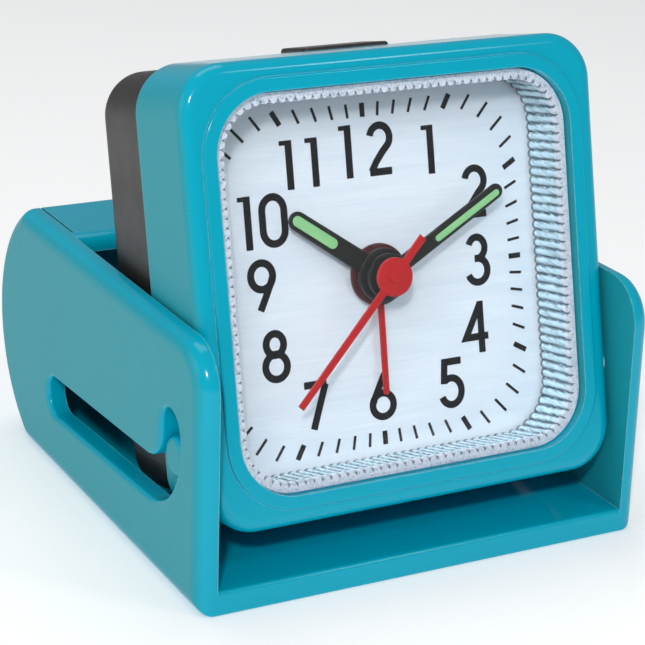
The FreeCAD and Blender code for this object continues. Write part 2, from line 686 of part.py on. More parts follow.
def make_motion_wheel():
    """Motion wheel and pinion on the arbor that the time-setting knob turns."""
    return fuse([
        rod(KNOB_ARBOR_RADIUS, MOVEMENT_FRONT + 0.6, KNOB_BACK - 0.8, MOTION_AXIS),
        gear(
            MOTION_PINION_TEETH, HOUR_MODULE, 13.5, 14.4, MOTION_AXIS, MOTION_BEARING + 180, gap=True
        ),
        gear(MOTION_TEETH, MOTION_MODULE, 14.8, 15.6, MOTION_AXIS, MOTION_BEARING + 180, gap=True),
    ])


def make_alarm_setting_gear():
    return fuse([
        rod(KNOB_ARBOR_RADIUS, MOVEMENT_FRONT + 0.6, KNOB_BACK - 0.8, ALARM_AXIS),
        gear(
            ALARM_PINION_TEETH, ALARM_MODULE, 12.5, 13.4, ALARM_AXIS, ALARM_BEARING + 180, gap=True
        ),
    ])


def make_knob(axis):
    grip = fluted_disc(
        KNOB_RADIUS, KNOB_FLUTES, KNOB_FLUTE_DEPTH, KNOB_FRONT, KNOB_BACK, axis
    )
    dish = rod(KNOB_DISH_RADIUS, KNOB_BACK - 0.4, KNOB_BACK + 1, axis)
    return grip.cut(dish).cut(rod(KNOB_ARBOR_RADIUS, KNOB_FRONT - 1, KNOB_BACK - 0.8, axis))


# ---------------------------------------------------------------- movement

def movement_slab(inset, front, back):
    left = -MOVEMENT_HALF_WIDTH + inset
    right = MOVEMENT_HALF_WIDTH - inset
    return block(left, right, front, back, MOVEMENT_BOTTOM + inset, MOVEMENT_TOP - inset)


MOVEMENT_BOSSES = (
    (-MOVEMENT_HALF_WIDTH + MOVEMENT_WALL + 1.4, MOVEMENT_TOP - MOVEMENT_WALL - 1.4),
    (MOVEMENT_HALF_WIDTH - MOVEMENT_WALL - 1.4, MOVEMENT_BOTTOM + MOVEMENT_WALL + 1.4),
)


def make_movement_housing():
    """Front plate of the movement with its surrounding wall."""
    body = movement_slab(0, MOVEMENT_FRONT, MOVEMENT_COVER_FRONT)
    hollow = movement_slab(MOVEMENT_WALL, MOVEMENT_FRONT + MOVEMENT_PLATE, MOVEMENT_COVER_FRONT + 1)
    body = body.cut(hollow)
    body = fuse([body] + [
        rod(1.5, MOVEMENT_FRONT, MOVEMENT_COVER_FRONT, axis) for axis in MOVEMENT_BOSSES
    ])
    cuts = [
        rod(2.3 + RUNNING_GAP, MOVEMENT_FRONT - 1, 13, CENTRE),
        rod(KNOB_ARBOR_RADIUS + RUNNING_GAP, MOVEMENT_FRONT + 0.5, 13, MOTION_AXIS),
        rod(KNOB_ARBOR_RADIUS + RUNNING_GAP, MOVEMENT_FRONT + 0.5, 13, ALARM_AXIS),
    ]
    cuts += [rod(0.65, 17, MOVEMENT_COVER_FRONT + 1, axis) for axis in MOVEMENT_BOSSES]
    for cutter in cuts:
        body = body.cut(cutter)
    return body


def make_middle_plate():
    """Plate between the setting gears in front and the running train behind."""
    body = movement_slab(MOVEMENT_WALL + 0.1, MIDDLE_PLATE_FRONT, MIDDLE_PLATE_BACK)
    cuts = [
        rod(1.1 + RUNNING_GAP, 15, 18, CENTRE),
        rod(KNOB_ARBOR_RADIUS + RUNNING_GAP, 15, 18, MOTION_AXIS),
        rod(KNOB_ARBOR_RADIUS + RUNNING_GAP, 15, 18, ALARM_AXIS),
        block(11.8, MOVEMENT_HALF_WIDTH, 15, 18, 0.2, 13.6),
    ]
    cuts += [rod(0.35 + RUNNING_GAP, 15, 18, axis) for axis in (THIRD_AXIS, IDLER_AXIS, ROTOR_AXIS)]
    cuts += [
        block(axis[0] - 1.7, axis[0] + 1.7, 15, 18, axis[1] - 1.7, axis[1] + 1.7)
        for axis in MOVEMENT_BOSSES
    ]
    for cutter in cuts:
        body = body.cut(cutter)
    return body


def make_movement_cover():
    body = movement_slab(0, MOVEMENT_COVER_FRONT + 0.05, MOVEMENT_BACK)
    cuts = [
        rod(0.5 + RUNNING_GAP, 22, 23.0, CENTRE),
        rod(KNOB_ARBOR_RADIUS + RUNNING_GAP, 22, 25, MOTION_AXIS),
        rod(KNOB_ARBOR_RADIUS + RUNNING_GAP, 22, 25, ALARM_AXIS),
    ]
    cuts += [rod(0.35 + RUNNING_GAP, 22, 23.0, axis) for axis in (THIRD_AXIS, IDLER_AXIS, ROTOR_AXIS)]
    cuts += [rod(0.7, 22, 25, axis) for axis in MOVEMENT_BOSSES]
    for cutter in cuts:
        body = body.cut(cutter)
    return body


def make_movement_screws():
    screws = []
    for axis in MOVEMENT_BOSSES:
        head = rod(1.2, MOVEMENT_BACK + 0.02, MOVEMENT_BACK + 0.7, axis)
        screw = fuse([head, rod(0.6, 18, MOVEMENT_BACK + 0.3, axis)])
        slot = block(
            axis[0] - 1.5, axis[0] + 1.5, MOVEMENT_BACK + 0.4, MOVEMENT_BACK + 1,
            axis[1] - 0.15, axis[1] + 0.15,
        )
        screws.append(screw.cut(slot))
    return Part.makeCompound(screws)


COIL_X = 15.6
COIL_Y = 18.2
COIL_LOW_Z = 1.0
COIL_TOP_Z = 12.8


def upright_rod(radius, low, top):
    return Part.makeCylinder(radius, top - low, Vector(COIL_X, COIL_Y, low), Vector(0, 0, 1))


def make_stator():
    """Flat iron stator round the rotor, whose arms close the circuit through the coil."""
    front, back = COIL_Y - 0.3, COIL_Y + 0.3
    body = fuse([
        block(9.2, 16.6, front, back, -8.0, -0.4),
        block(9.2, 11.2, front, back, -0.4, 15.6),
        block(9.2, 16.6, front, back, 13.8, 15.6),
        block(COIL_X - 0.8, COIL_X + 0.8, front, back, -0.4, 13.8),
    ])
    return body.cut(rod(2.4, front - 1, back + 1, ROTOR_AXIS))


def make_coil_bobbin():
    body = fuse([
        upright_rod(3.0, COIL_LOW_Z, COIL_LOW_Z + 0.6),
        upright_rod(3.0, COIL_TOP_Z - 0.6, COIL_TOP_Z),
        upright_rod(1.3, COIL_LOW_Z, COIL_TOP_Z),
    ])
    core = block(
        COIL_X - 0.85, COIL_X + 0.85, COIL_Y - 0.35, COIL_Y + 0.35, COIL_LOW_Z - 1, COIL_TOP_Z + 1
    )
    return body.cut(core)


def make_coil_winding():
    winding = upright_rod(2.6, COIL_LOW_Z + 0.65, COIL_TOP_Z - 0.65)
    return winding.cut(upright_rod(1.35, COIL_LOW_Z, COIL_TOP_Z))


def make_circuit_board():
    return block(-19.4, -9.6, 19.4, 20.2, -9.0, 12.6)


def make_timing_chip():
    return rounded_slab(2.6, 2.6, 1.2, 18.5, 19.38, -14.5, 7.5)


def make_timing_crystal():
    """Small round quartz can lying along the circuit board."""
    return Part.makeCylinder(0.95, 6.0, Vector(-14.5, 18.4, -5.0), Vector(0, 0, 1))


# ---------------------------------------------------------------- battery and controls

def make_battery_cell():
    body = cross_rod(CELL_RADIUS, CELL_START_X, CELL_SHOULDER_X, CELL_DEPTH, CELL_Z)
    rims = edges_at_x(body, CELL_START_X) + edges_at_x(body, CELL_SHOULDER_X)
    body = body.makeFillet(0.5, rims)
    return fuse([body, cross_rod(2.6, CELL_SHOULDER_X - 1, CELL_NUB_X, CELL_DEPTH, CELL_Z)])


def make_positive_contact():
    return block(26.3, 26.6, CELL_DEPTH - 4, CELL_DEPTH + 4, CELL_Z - 4, CELL_Z + 6)


def make_negative_contact():
    """Contact plate with a coil spring that presses on the cell's flat end."""
    wire = 0.3
    radius = 3.0
    start = -27.2
    height = CELL_START_X - start - 0.6
    plate = block(-27.6, -27.3, CELL_DEPTH - 4, CELL_DEPTH + 4, CELL_Z - 4, CELL_Z + 6)
    path = Part.makeHelix(height / 2.5, height, radius)
    ring = Part.Wire(Part.makeCircle(wire, Vector(radius, 0, 0), Vector(0, 1, 0)))
    spring = Part.Wire(path).makePipeShell([ring], True, True)
    spring.rotate(Vector(0, 0, 0), Vector(0, 1, 0), 90)
    spring.translate(Vector(start + 0.15, CELL_DEPTH, CELL_Z))
    return fuse([plate, spring])


def make_battery_door():
    plate = rounded_slab(
        DOOR_HALF_WIDTH, DOOR_HALF_HEIGHT, 1.2, REAR_BACK - 1.4, REAR_BACK, 0, CELL_Z
    )
    ribs = [
        block(-6, 6, REAR_BACK, REAR_BACK + 0.4, CELL_Z + 1.2 + 1.4 * row, CELL_Z + 1.8 + 1.4 * row)
        for row in range(3)
    ]
    return fuse([plate] + ribs)


def make_snooze_button():
    top = block(
        BUTTON_X - BUTTON_HALF_WIDTH, BUTTON_X + BUTTON_HALF_WIDTH, BUTTON_FRONT, BUTTON_BACK,
        REAR_HALF_HEIGHT - REAR_WALL - 0.6, BUTTON_TOP_Z,
    )
    uprights = [edge for edge in top.Edges if edge.BoundBox.ZLength > 1]
    top = top.makeFillet(BUTTON_CORNER, uprights)
    crown = [
        edge for edge in top.Edges
        if abs(edge.BoundBox.ZMin - BUTTON_TOP_Z) < 1e-4 and abs(edge.BoundBox.ZMax - BUTTON_TOP_Z) < 1e-4
    ]
    top = top.makeFillet(BUTTON_EDGE_ROUND, crown)
    flange_top = REAR_HALF_HEIGHT - REAR_WALL - BUTTON_GAP
    flange = block(
        BUTTON_X - BUTTON_HALF_WIDTH - 1, BUTTON_X + BUTTON_HALF_WIDTH + 1,
        BUTTON_FRONT - BUTTON_FLANGE, BUTTON_BACK + BUTTON_FLANGE - 0.2,
        flange_top - BUTTON_FLANGE, flange_top,
    )
    return fuse([top, flange])


def make_snooze_contact():
    """Leaf that the button presses down to silence the alarm."""
    leaf_top = REAR_HALF_HEIGHT - REAR_WALL - 1.1 - BUTTON_TRAVEL - 0.3
    leaf = block(-5, 5, 19.0, 21.5, leaf_top - 0.3, leaf_top)
    leg = block(-5, -4.7, 19.0, 21.5, MOVEMENT_TOP + 0.35, leaf_top)
    foot = block(-5, -1, 19.0, 21.5, MOVEMENT_TOP + 0.05, MOVEMENT_TOP + 0.35)
    return fuse([leaf, leg, foot])


def make_alarm_switch():
    cap = rounded_slab(1.0, 1.8, 0.7, REAR_BACK - 2.2, REAR_BACK - 0.1, SWITCH_X, SWITCH_Z)
    flange_back = REAR_BACK - REAR_BACK_WALL - 0.3
    flange = rounded_slab(2.6, 5.6, 0.8, flange_back - 0.9, flange_back, SWITCH_X, SWITCH_Z)
    return fuse([cap, flange])


def make_buzzer():
    back = REAR_BACK - REAR_BACK_WALL - 0.1
    body = rod(BUZZER_RADIUS, BUZZER_FRONT, back, (0, BUZZER_Z))
    return body.cut(rod(1.2, back - 1.5, back + 1, (0, BUZZER_Z)))


# ---------------------------------------------------------------- assembly

CLOCK_NODES = {
    "front_case": make_front_case,
    "rear_case": make_rear_case,
    "crystal": make_crystal,
    "dial": make_dial,
    "case_screws": make_case_screws,
    "second_hand": make_second_hand,
    "second_arbor": make_second_arbor,
    "minute_hand": make_minute_hand,
    "minute_arbor": make_minute_arbor,
    "minute_drive_wheel": make_minute_drive_wheel,
    "third_wheel": make_third_wheel,
    "intermediate_wheel": make_intermediate_wheel,
    "rotor": make_rotor,
    "hour_hand": make_hour_hand,
    "hour_wheel": make_hour_wheel,
    "alarm_hand": make_alarm_hand,
    "alarm_wheel": make_alarm_wheel,
    "motion_wheel": make_motion_wheel,
    "time_knob": lambda: make_knob(MOTION_AXIS),
    "alarm_setting_gear": make_alarm_setting_gear,
    "alarm_knob": lambda: make_knob(ALARM_AXIS),
    "movement_housing": make_movement_housing,
    "middle_plate": make_middle_plate,
    "movement_cover": make_movement_cover,
    "movement_screws": make_movement_screws,
    "stator": make_stator,
    "coil_bobbin": make_coil_bobbin,
    "coil_winding": make_coil_winding,
    "circuit_board": make_circuit_board,
    "timing_chip": make_timing_chip,
    "timing_crystal": make_timing_crystal,
    "battery_cell": make_battery_cell,
    "positive_contact": make_positive_contact,
    "negative_contact": make_negative_contact,
    "battery_door": make_battery_door,
    "snooze_button": make_snooze_button,
    "snooze_contact": make_snooze_contact,
    "alarm_switch": make_alarm_switch,
    "buzzer": make_buzzer,
}


def clock_to_row(x, y, z):
    """Row-frame place of a point given in the clock's own upright frame."""
    lean = math.radians(LEAN_ANGLE)
    turned_y = (y - PIN_DEPTH) * math.cos(lean) + (z - PIN_HEIGHT) * math.sin(lean)
    turned_z = (z - PIN_HEIGHT) * math.cos(lean) - (y - PIN_DEPTH) * math.sin(lean)
    return Vector(x, PIN_Y + turned_y - CRADLE_DEPTH / 2, PIN_Z + turned_z)


def place_clock_piece(shape):
    """Lean the piece back about the pins and set it in the cradle."""
    piece = shape.copy()
    piece.rotate(Vector(0, PIN_DEPTH, PIN_HEIGHT), Vector(1, 0, 0), -LEAN_ANGLE)
    piece.translate(Vector(0, PIN_Y - PIN_DEPTH - CRADLE_DEPTH / 2, PIN_Z - PIN_HEIGHT))
    return piece


def build_all():
    cradle = make_cradle()
    cradle.translate(Vector(0, -CRADLE_DEPTH / 2, 0))
    nodes = {"cradle": cradle}
    for name, make in CLOCK_NODES.items():
        nodes[name] = place_clock_piece(make())
    return nodes


def main():
    os.makedirs("parts", exist_ok=True)
    for name, shape in build_all().items():
        sound = shape.isValid() and all(solid.isClosed() for solid in shape.Solids)
        print(name, "solids", len(shape.Solids), "volume", round(shape.Volume, 1), "sound", sound)
        shape.exportStep("parts/" + name + ".step")


if __name__ == "__main__":
    main()
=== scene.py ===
import json
import math

import bmesh
import bpy
from mathutils import Matrix, Vector


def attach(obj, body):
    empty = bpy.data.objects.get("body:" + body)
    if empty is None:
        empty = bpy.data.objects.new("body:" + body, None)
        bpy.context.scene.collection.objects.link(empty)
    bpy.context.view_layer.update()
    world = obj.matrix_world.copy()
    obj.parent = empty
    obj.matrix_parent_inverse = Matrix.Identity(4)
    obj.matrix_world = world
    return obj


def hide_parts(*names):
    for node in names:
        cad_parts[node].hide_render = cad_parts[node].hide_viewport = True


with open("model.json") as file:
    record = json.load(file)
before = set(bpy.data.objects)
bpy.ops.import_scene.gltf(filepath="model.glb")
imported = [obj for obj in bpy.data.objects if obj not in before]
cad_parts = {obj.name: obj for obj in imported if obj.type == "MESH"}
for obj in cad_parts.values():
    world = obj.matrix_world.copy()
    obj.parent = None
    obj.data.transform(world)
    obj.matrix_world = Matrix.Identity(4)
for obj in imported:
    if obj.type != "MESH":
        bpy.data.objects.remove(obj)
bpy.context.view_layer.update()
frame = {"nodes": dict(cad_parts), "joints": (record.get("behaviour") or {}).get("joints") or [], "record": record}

# Looks of a folding travel alarm clock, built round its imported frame. Lengths are metres.
# The clock's own upright frame is used for the dial, hands and crystal, in millimetres:
# u to the right, d from the front face backwards, w up, origin in the middle of the front face.

NODES = frame["nodes"]
MM = 0.001


# ---------------------------------------------------------------- the clock's own frame

def clock_axes():
    """Right, backward and up directions of the leaning clock, from the hands' joint."""
    joint = next(j for j in frame["joints"] if j["name"] == "second_hand_turn")
    back = Vector(joint["axis"]).normalized()
    right = Vector((1, 0, 0))
    return right, back, right.cross(back).normalized(), Vector(joint["pos_m"])


RIGHT, BACK, UP, HANDS_AXIS = clock_axes()
DIAL_FRONT = 9.8
CENTRE_W = -0.2


def clock_origin():
    """The middle of the clock's front face, found from the dial's front and the hands' axis."""
    front = min(BACK.dot(v.co) for v in NODES["dial"].data.vertices)
    depth = BACK.dot(HANDS_AXIS)
    on_dial = HANDS_AXIS + BACK * (front - depth)
    return on_dial - BACK * DIAL_FRONT * MM - UP * CENTRE_W * MM


ORIGIN = clock_origin()
CLOCK = Matrix((
    (RIGHT.x * MM, BACK.x * MM, UP.x * MM, ORIGIN.x),
    (RIGHT.y * MM, BACK.y * MM, UP.y * MM, ORIGIN.y),
    (RIGHT.z * MM, BACK.z * MM, UP.z * MM, ORIGIN.z),
    (0, 0, 0, 1),
))


# ---------------------------------------------------------------- node materials
# noise scales are in cycles a metre, so 1000 is a millimetre

PLASTIC_MOTTLE = 0.12
PLASTIC_WEAR = 0.35
PLASTIC_IOR = 1.49
CLEAR_IOR = 1.5
PAINT_DUST = 0.06
PAINT_COAT = 0.08
TARNISH_SCALE = 500.0

def new_material(name):
    material = bpy.data.materials.new(name)
    material.use_nodes = True
    tree = material.node_tree
    shader = tree.nodes["Principled BSDF"]
    return material, tree, shader


def noise(tree, vector, scale, detail=4.0, rough=0.55):
    node = tree.nodes.new("ShaderNodeTexNoise")
    node.inputs["Scale"].default_value = scale
    node.inputs["Detail"].default_value = detail
    node.inputs["Roughness"].default_value = rough
    tree.links.new(vector, node.inputs["Vector"])
    return node.outputs["Fac"]


def remap(tree, value, low, high, out_low, out_high):
    node = tree.nodes.new("ShaderNodeMapRange")
    node.inputs["From Min"].default_value = low
    node.inputs["From Max"].default_value = high
    node.inputs["To Min"].default_value = out_low
    node.inputs["To Max"].default_value = out_high
    tree.links.new(value, node.inputs["Value"])
    return node.outputs["Result"]


def mix_colours(tree, factor, first, second):
    node = tree.nodes.new("ShaderNodeMix")
    node.data_type = "RGBA"
    tree.links.new(factor, node.inputs["Factor"])
    for socket, value in ((node.inputs[6], first), (node.inputs[7], second)):
        if isinstance(value, tuple):
            socket.default_value = (*value, 1.0)
        else:
            tree.links.new(value, socket)
    return node.outputs[2]


def stretched(tree, vector, scale):
    node = tree.nodes.new("ShaderNodeMapping")
    node.inputs["Scale"].default_value = scale
    tree.links.new(vector, node.inputs["Vector"])
    return node.outputs["Vector"]


def object_coords(tree):
    return tree.nodes.new("ShaderNodeTexCoord").outputs["Object"]


def math_node(tree, operation, first, second):
    node = tree.nodes.new("ShaderNodeMath")
    node.operation = operation
    for socket, value in zip(node.inputs, (first, second)):
        if isinstance(value, (int, float)):
            socket.default_value = value
        else:
            tree.links.new(value, socket)
    return node.outputs[0]


def add_bump(tree, shader, height, strength, distance):
    node = tree.nodes.new("ShaderNodeBump")
    node.inputs["Strength"].default_value = strength
    node.inputs["Distance"].default_value = distance
    tree.links.new(height, node.inputs["Height"])
    tree.links.new(node.outputs["Normal"], shader.inputs["Normal"])


def edge_mask(tree, radius):
    """1 on sharp edges and 0 on flats, from how far a rounded normal leans off the true one."""
    bevel = tree.nodes.new("ShaderNodeBevel")
    bevel.samples = 4
    bevel.inputs["Radius"].default_value = radius
    geometry = tree.nodes.new("ShaderNodeNewGeometry")
    dot = tree.nodes.new("ShaderNodeVectorMath")
    dot.operation = "DOT_PRODUCT"
    tree.links.new(bevel.outputs["Normal"], dot.inputs[0])
    tree.links.new(geometry.outputs["Normal"], dot.inputs[1])
    return remap(tree, dot.outputs["Value"], 0.97, 0.75, 0.0, 1.0)


def plastic(name, colour, worn, roughness, grain, grain_size, coat=0.0):
    """Moulded plastic: faint mottling, rubbed edges, a fine satin grain and handling marks."""
    material, tree, shader = new_material(name)
    coords = object_coords(tree)
    broad = remap(tree, noise(tree, coords, 90.0), 0.35, 0.65, 0.0, PLASTIC_MOTTLE)
    shade = tuple(c * 0.8 for c in colour)
    base = mix_colours(tree, broad, colour, shade)
    scuff_and_glint = remap(tree, noise(tree, coords, 900.0, 6.0, 0.7), 0.45, 0.62, 0.0, PLASTIC_WEAR)
    rubbed_and_glinting_edges = math_node(tree, "MULTIPLY", edge_mask(tree, 0.35 * MM), scuff_and_glint)
    base = mix_colours(tree, rubbed_and_glinting_edges, base, worn)
    tree.links.new(base, shader.inputs["Base Color"])
    fine = noise(tree, coords, 1.0 / grain_size, 3.0, 0.6)
    smear = noise(tree, coords, 160.0, 3.0)
    spread = math_node(tree, "ADD", remap(tree, fine, 0.3, 0.7, -0.04, 0.04),
                       remap(tree, smear, 0.3, 0.7, roughness - 0.04, roughness + 0.05))
    tree.links.new(spread, shader.inputs["Roughness"])
    shader.inputs["IOR"].default_value = PLASTIC_IOR
    shader.inputs["Coat Weight"].default_value = coat
    shader.inputs["Coat Roughness"].default_value = 0.08
    add_bump(tree, shader, fine, grain, grain_size * 0.5)
    return material


def grained_teal(name):
    """Cyan-teal plastic: polished on the fronts and rounds, with a fine spark grain on the sides. The sides are a
    darker teal as painted shade, and sharp edges carry a pale painted highlight.
    """
    material, tree, shader = new_material(name)
    coords = object_coords(tree)
    geometry = tree.nodes.new("ShaderNodeNewGeometry")
    transform = tree.nodes.new("ShaderNodeVectorTransform")
    transform.vector_type = "NORMAL"
    transform.convert_from = "WORLD"
    transform.convert_to = "OBJECT"
    tree.links.new(geometry.outputs["True Normal"], transform.inputs[0])
    split = tree.nodes.new("ShaderNodeSeparateXYZ")
    tree.links.new(transform.outputs[0], split.inputs[0])
    sideways = math_node(tree, "ABSOLUTE", split.outputs["X"], 0.0)
    side_grain_and_shade = remap(tree, sideways, 0.62, 1.0, 0.0, 1.0)
    side_grain_and_shade.node.clamp = True
    broad = remap(tree, noise(tree, coords, 70.0), 0.35, 0.65, 0.0, 0.16)
    base = mix_colours(tree, broad, (0.0, 0.385, 0.535), (0.0, 0.345, 0.49))
    # painted shade: faces turned sideways get a darker copy of the teal; their grain and satin roughness are the
    # real finish
    shaded_side_colour = mix_colours(tree, broad, (0.010, 0.30, 0.36), (0.008, 0.27, 0.33))
    base = mix_colours(tree, side_grain_and_shade, base, shaded_side_colour)
    # painted highlight: sharp edges turn pale teal, spread by noise, where the light glints along them
    scuff_and_glint = remap(tree, noise(tree, coords, 800.0, 6.0, 0.7), 0.42, 0.60, 0.35, 0.80)
    rubbed_and_glinting_edges = math_node(tree, "MULTIPLY", edge_mask(tree, 0.22 * MM), scuff_and_glint)
    base = mix_colours(tree, rubbed_and_glinting_edges, base, (0.42, 0.80, 0.90))
    tree.links.new(base, shader.inputs["Base Color"])
    fine = noise(tree, coords, 4200.0, 3.0, 0.65)
    smear = remap(tree, noise(tree, coords, 140.0, 3.0), 0.3, 0.7, 0.10, 0.17)
    satin = remap(tree, fine, 0.3, 0.7, 0.38, 0.52)
    blend = tree.nodes.new("ShaderNodeMix")
    tree.links.new(side_grain_and_shade, blend.inputs["Factor"])
    tree.links.new(smear, blend.inputs[2])
    tree.links.new(satin, blend.inputs[3])
    tree.links.new(blend.outputs[0], shader.inputs["Roughness"])
    shader.inputs["Specular IOR Level"].default_value = 0.27
    depth = math_node(tree, "MULTIPLY", fine, remap(tree, side_grain_and_shade, 0.0, 1.0, 0.25, 1.0))
    add_bump(tree, shader, depth, 0.35, 0.06 * MM)
    return material


def metal(name, colour, roughness, streak):
    """Plain metal with drawn streaks and a little tarnish."""
    material, tree, shader = new_material(name)
    coords = object_coords(tree)
    tarnish = remap(tree, noise(tree, coords, TARNISH_SCALE), 0.35, 0.7, 0.0, 0.35)
    base = mix_colours(tree, tarnish, colour, tuple(c * 0.62 for c in colour))
    tree.links.new(base, shader.inputs["Base Color"])
    lines = noise(tree, stretched(tree, coords, streak), 1.0, 3.0)
    tree.links.new(
        remap(tree, lines, 0.3, 0.7, roughness - 0.08, roughness + 0.1), shader.inputs["Roughness"]
    )
    shader.inputs["Metallic"].default_value = 1.0
    add_bump(tree, shader, lines, 0.25, 0.02 * MM)
    return material


def painted(name, colour, roughness):
    """Paint on a stamped hand: slight orange peel and dust."""
    material, tree, shader = new_material(name)
    coords = object_coords(tree)
    dust = remap(tree, noise(tree, coords, 1500.0, 5.0, 0.7), 0.5, 0.75, 0.0, PAINT_DUST)
    base = mix_colours(tree, dust, colour, tuple(min(1.0, c * 1.3 + 0.02) for c in colour))
    tree.links.new(base, shader.inputs["Base Color"])
    peel = noise(tree, coords, 2200.0, 2.0)
    tree.links.new(
        remap(tree, peel, 0.3, 0.7, roughness - 0.05, roughness + 0.08), shader.inputs["Roughness"]
    )
    shader.inputs["Coat Weight"].default_value = PAINT_COAT
    shader.inputs["Specular IOR Level"].default_value = 0.22
    add_bump(tree, shader, peel, 0.2, 0.03 * MM)
    return material


def brushed_dial(name):
    """Silvery white dial with fine brushing across it."""
    material, tree, shader = new_material(name)
    coords = object_coords(tree)
    lines = noise(tree, stretched(tree, coords, (110.0, 5200.0, 5200.0)), 1.0, 4.0, 0.7)
    broad = noise(tree, stretched(tree, coords, (60.0, 500.0, 500.0)), 1.0, 2.0)
    factor = math_node(tree, "ADD", remap(tree, lines, 0.3, 0.7, 0.0, 0.6),
                       remap(tree, broad, 0.35, 0.65, 0.0, 0.4))
    base = mix_colours(tree, factor, (0.80, 0.845, 0.885), (0.68, 0.735, 0.80))
    tree.links.new(base, shader.inputs["Base Color"])
    tree.links.new(remap(tree, lines, 0.3, 0.7, 0.34, 0.5), shader.inputs["Roughness"])
    shader.inputs["Metallic"].default_value = 0.25
    add_bump(tree, shader, lines, 0.25, 0.015 * MM)
    return material


def printed_ink(name):
    material, tree, shader = new_material(name)
    coords = object_coords(tree)
    speck = remap(tree, noise(tree, coords, 3500.0, 4.0, 0.7), 0.45, 0.7, 0.0, 0.5)
    base = mix_colours(tree, speck, (0.002, 0.002, 0.003), (0.010, 0.010, 0.013))
    tree.links.new(base, shader.inputs["Base Color"])
    tree.links.new(remap(tree, speck, 0.0, 0.5, 0.42, 0.6), shader.inputs["Roughness"])
    shader.inputs["Specular IOR Level"].default_value = 0.08
    add_bump(tree, shader, speck, 0.2, 0.01 * MM)
    return material


def luminous(name):
    """Pale green luminous compound, slightly grainy."""
    material, tree, shader = new_material(name)
    coords = object_coords(tree)
    grain = noise(tree, coords, 5200.0, 4.0, 0.7)
    base = mix_colours(tree, remap(tree, grain, 0.35, 0.65, 0.0, 1.0),
                       (0.175, 0.41, 0.165), (0.225, 0.47, 0.205))
    tree.links.new(base, shader.inputs["Base Color"])
    tree.links.new(remap(tree, grain, 0.3, 0.7, 0.5, 0.7), shader.inputs["Roughness"])
    shader.inputs["Emission Color"].default_value = (0.25, 0.75, 0.28, 1.0)
    shader.inputs["Emission Strength"].default_value = 0.04
    add_bump(tree, shader, grain, 0.35, 0.03 * MM)
    return material


def clear_pane(name):
    """Thin polished window: straight through, with a faint reflection that grows at a slant."""
    material, tree, shader = new_material(name)
    coords = object_coords(tree)
    smear = noise(tree, coords, 220.0, 4.0)
    tree.links.new(remap(tree, smear, 0.3, 0.7, 0.02, 0.05), shader.inputs["Roughness"])
    shader.inputs["Base Color"].default_value = (0.93, 0.97, 1.0, 1.0)
    shader.inputs["IOR"].default_value = PLASTIC_IOR
    shader.inputs["Transmission Weight"].default_value = 1.0
    return see_through(material, tree, shader)


def see_through(material, tree, shader):
    """Lets the lamps' light through the clear plastic to what is behind it."""
    output = next(n for n in tree.nodes if n.type == "OUTPUT_MATERIAL")
    path = tree.nodes.new("ShaderNodeLightPath")
    clear = tree.nodes.new("ShaderNodeBsdfTransparent")
    mix = tree.nodes.new("ShaderNodeMixShader")
    tree.links.new(path.outputs["Is Shadow Ray"], mix.inputs[0])
    tree.links.new(shader.outputs[0], mix.inputs[1])
    tree.links.new(clear.outputs[0], mix.inputs[2])
    tree.links.new(mix.outputs[0], output.inputs["Surface"])
    return material


def attribute(tree, name):
    node = tree.nodes.new("ShaderNodeAttribute")
    node.attribute_name = name
    return node.outputs["Fac"]


def ribbed_wall(name):
    """Clear ribbed wall: pale streaked ridges as painted highlight, deep blue-grey valleys as painted shade, and a
    dark line at the foot as painted shadow.
    """
    material, tree, shader = new_material(name)
    coords = object_coords(tree)
    # painted highlight on the ridges and painted shade in the valleys: the ridge share, broken up by streaks,
    # mixes deep blue-grey to pale
    ridge = remap(tree, attribute(tree, "ridge"), 0.34, 0.92, 0.0, 1.0)
    streak = remap(tree, noise(tree, stretched(tree, coords, (3200.0, 260.0, 3200.0)), 1.0, 3.0, 0.7),
                   0.36, 0.64, -0.45, 0.45)
    lit = math_node(tree, "ADD", ridge, streak)
    lit.node.use_clamp = True
    base = mix_colours(tree, lit, (0.01, 0.075, 0.11), (0.58, 0.80, 0.90))
    # painted shadow: a dark line at the wall's foot, where it meets the dial
    foot_shadow = remap(tree, attribute(tree, "foot_shadow"), 0.2, 0.9, 0.0, 0.85)
    base = mix_colours(tree, foot_shadow, base, (0.02, 0.05, 0.07))
    tree.links.new(base, shader.inputs["Base Color"])
    speck = noise(tree, coords, 2600.0, 4.0, 0.75)
    tree.links.new(remap(tree, speck, 0.3, 0.7, 0.10, 0.26), shader.inputs["Roughness"])
    shader.inputs["IOR"].default_value = CLEAR_IOR
    shader.inputs["Transmission Weight"].default_value = 0.12
    shader.inputs["Coat Weight"].default_value = 0.4
    shader.inputs["Coat Roughness"].default_value = 0.05
    add_bump(tree, shader, speck, 0.3, 0.10 * MM)
    return see_through(material, tree, shader)


def speckled_rim(name):
    """The crystal's rim: pale and pitted, with painted shade darkening the notches between its beads."""
    material, tree, shader = new_material(name)
    coords = object_coords(tree)
    grain = noise(tree, coords, 2900.0, 4.0, 0.7)
    pits = remap(tree, grain, 0.36, 0.52, 0.0, 1.0)
    base = mix_colours(tree, pits, (0.34, 0.45, 0.58), (0.86, 0.90, 1.0))
    # painted shade: the notches between the beads turn dark
    notch_shade = remap(tree, attribute(tree, "ridge"), 0.15, 0.75, 0.0, 1.0)
    base = mix_colours(tree, notch_shade, (0.05, 0.10, 0.14), base)
    tree.links.new(base, shader.inputs["Base Color"])
    tree.links.new(remap(tree, grain, 0.3, 0.7, 0.35, 0.15), shader.inputs["Roughness"])
    shader.inputs["IOR"].default_value = CLEAR_IOR
    shader.inputs["Transmission Weight"].default_value = 0.12
    shader.inputs["Coat Weight"].default_value = 0.5
    shader.inputs["Coat Roughness"].default_value = 0.06
    add_bump(tree, shader, grain, 0.9, 0.15 * MM)
    return see_through(material, tree, shader)


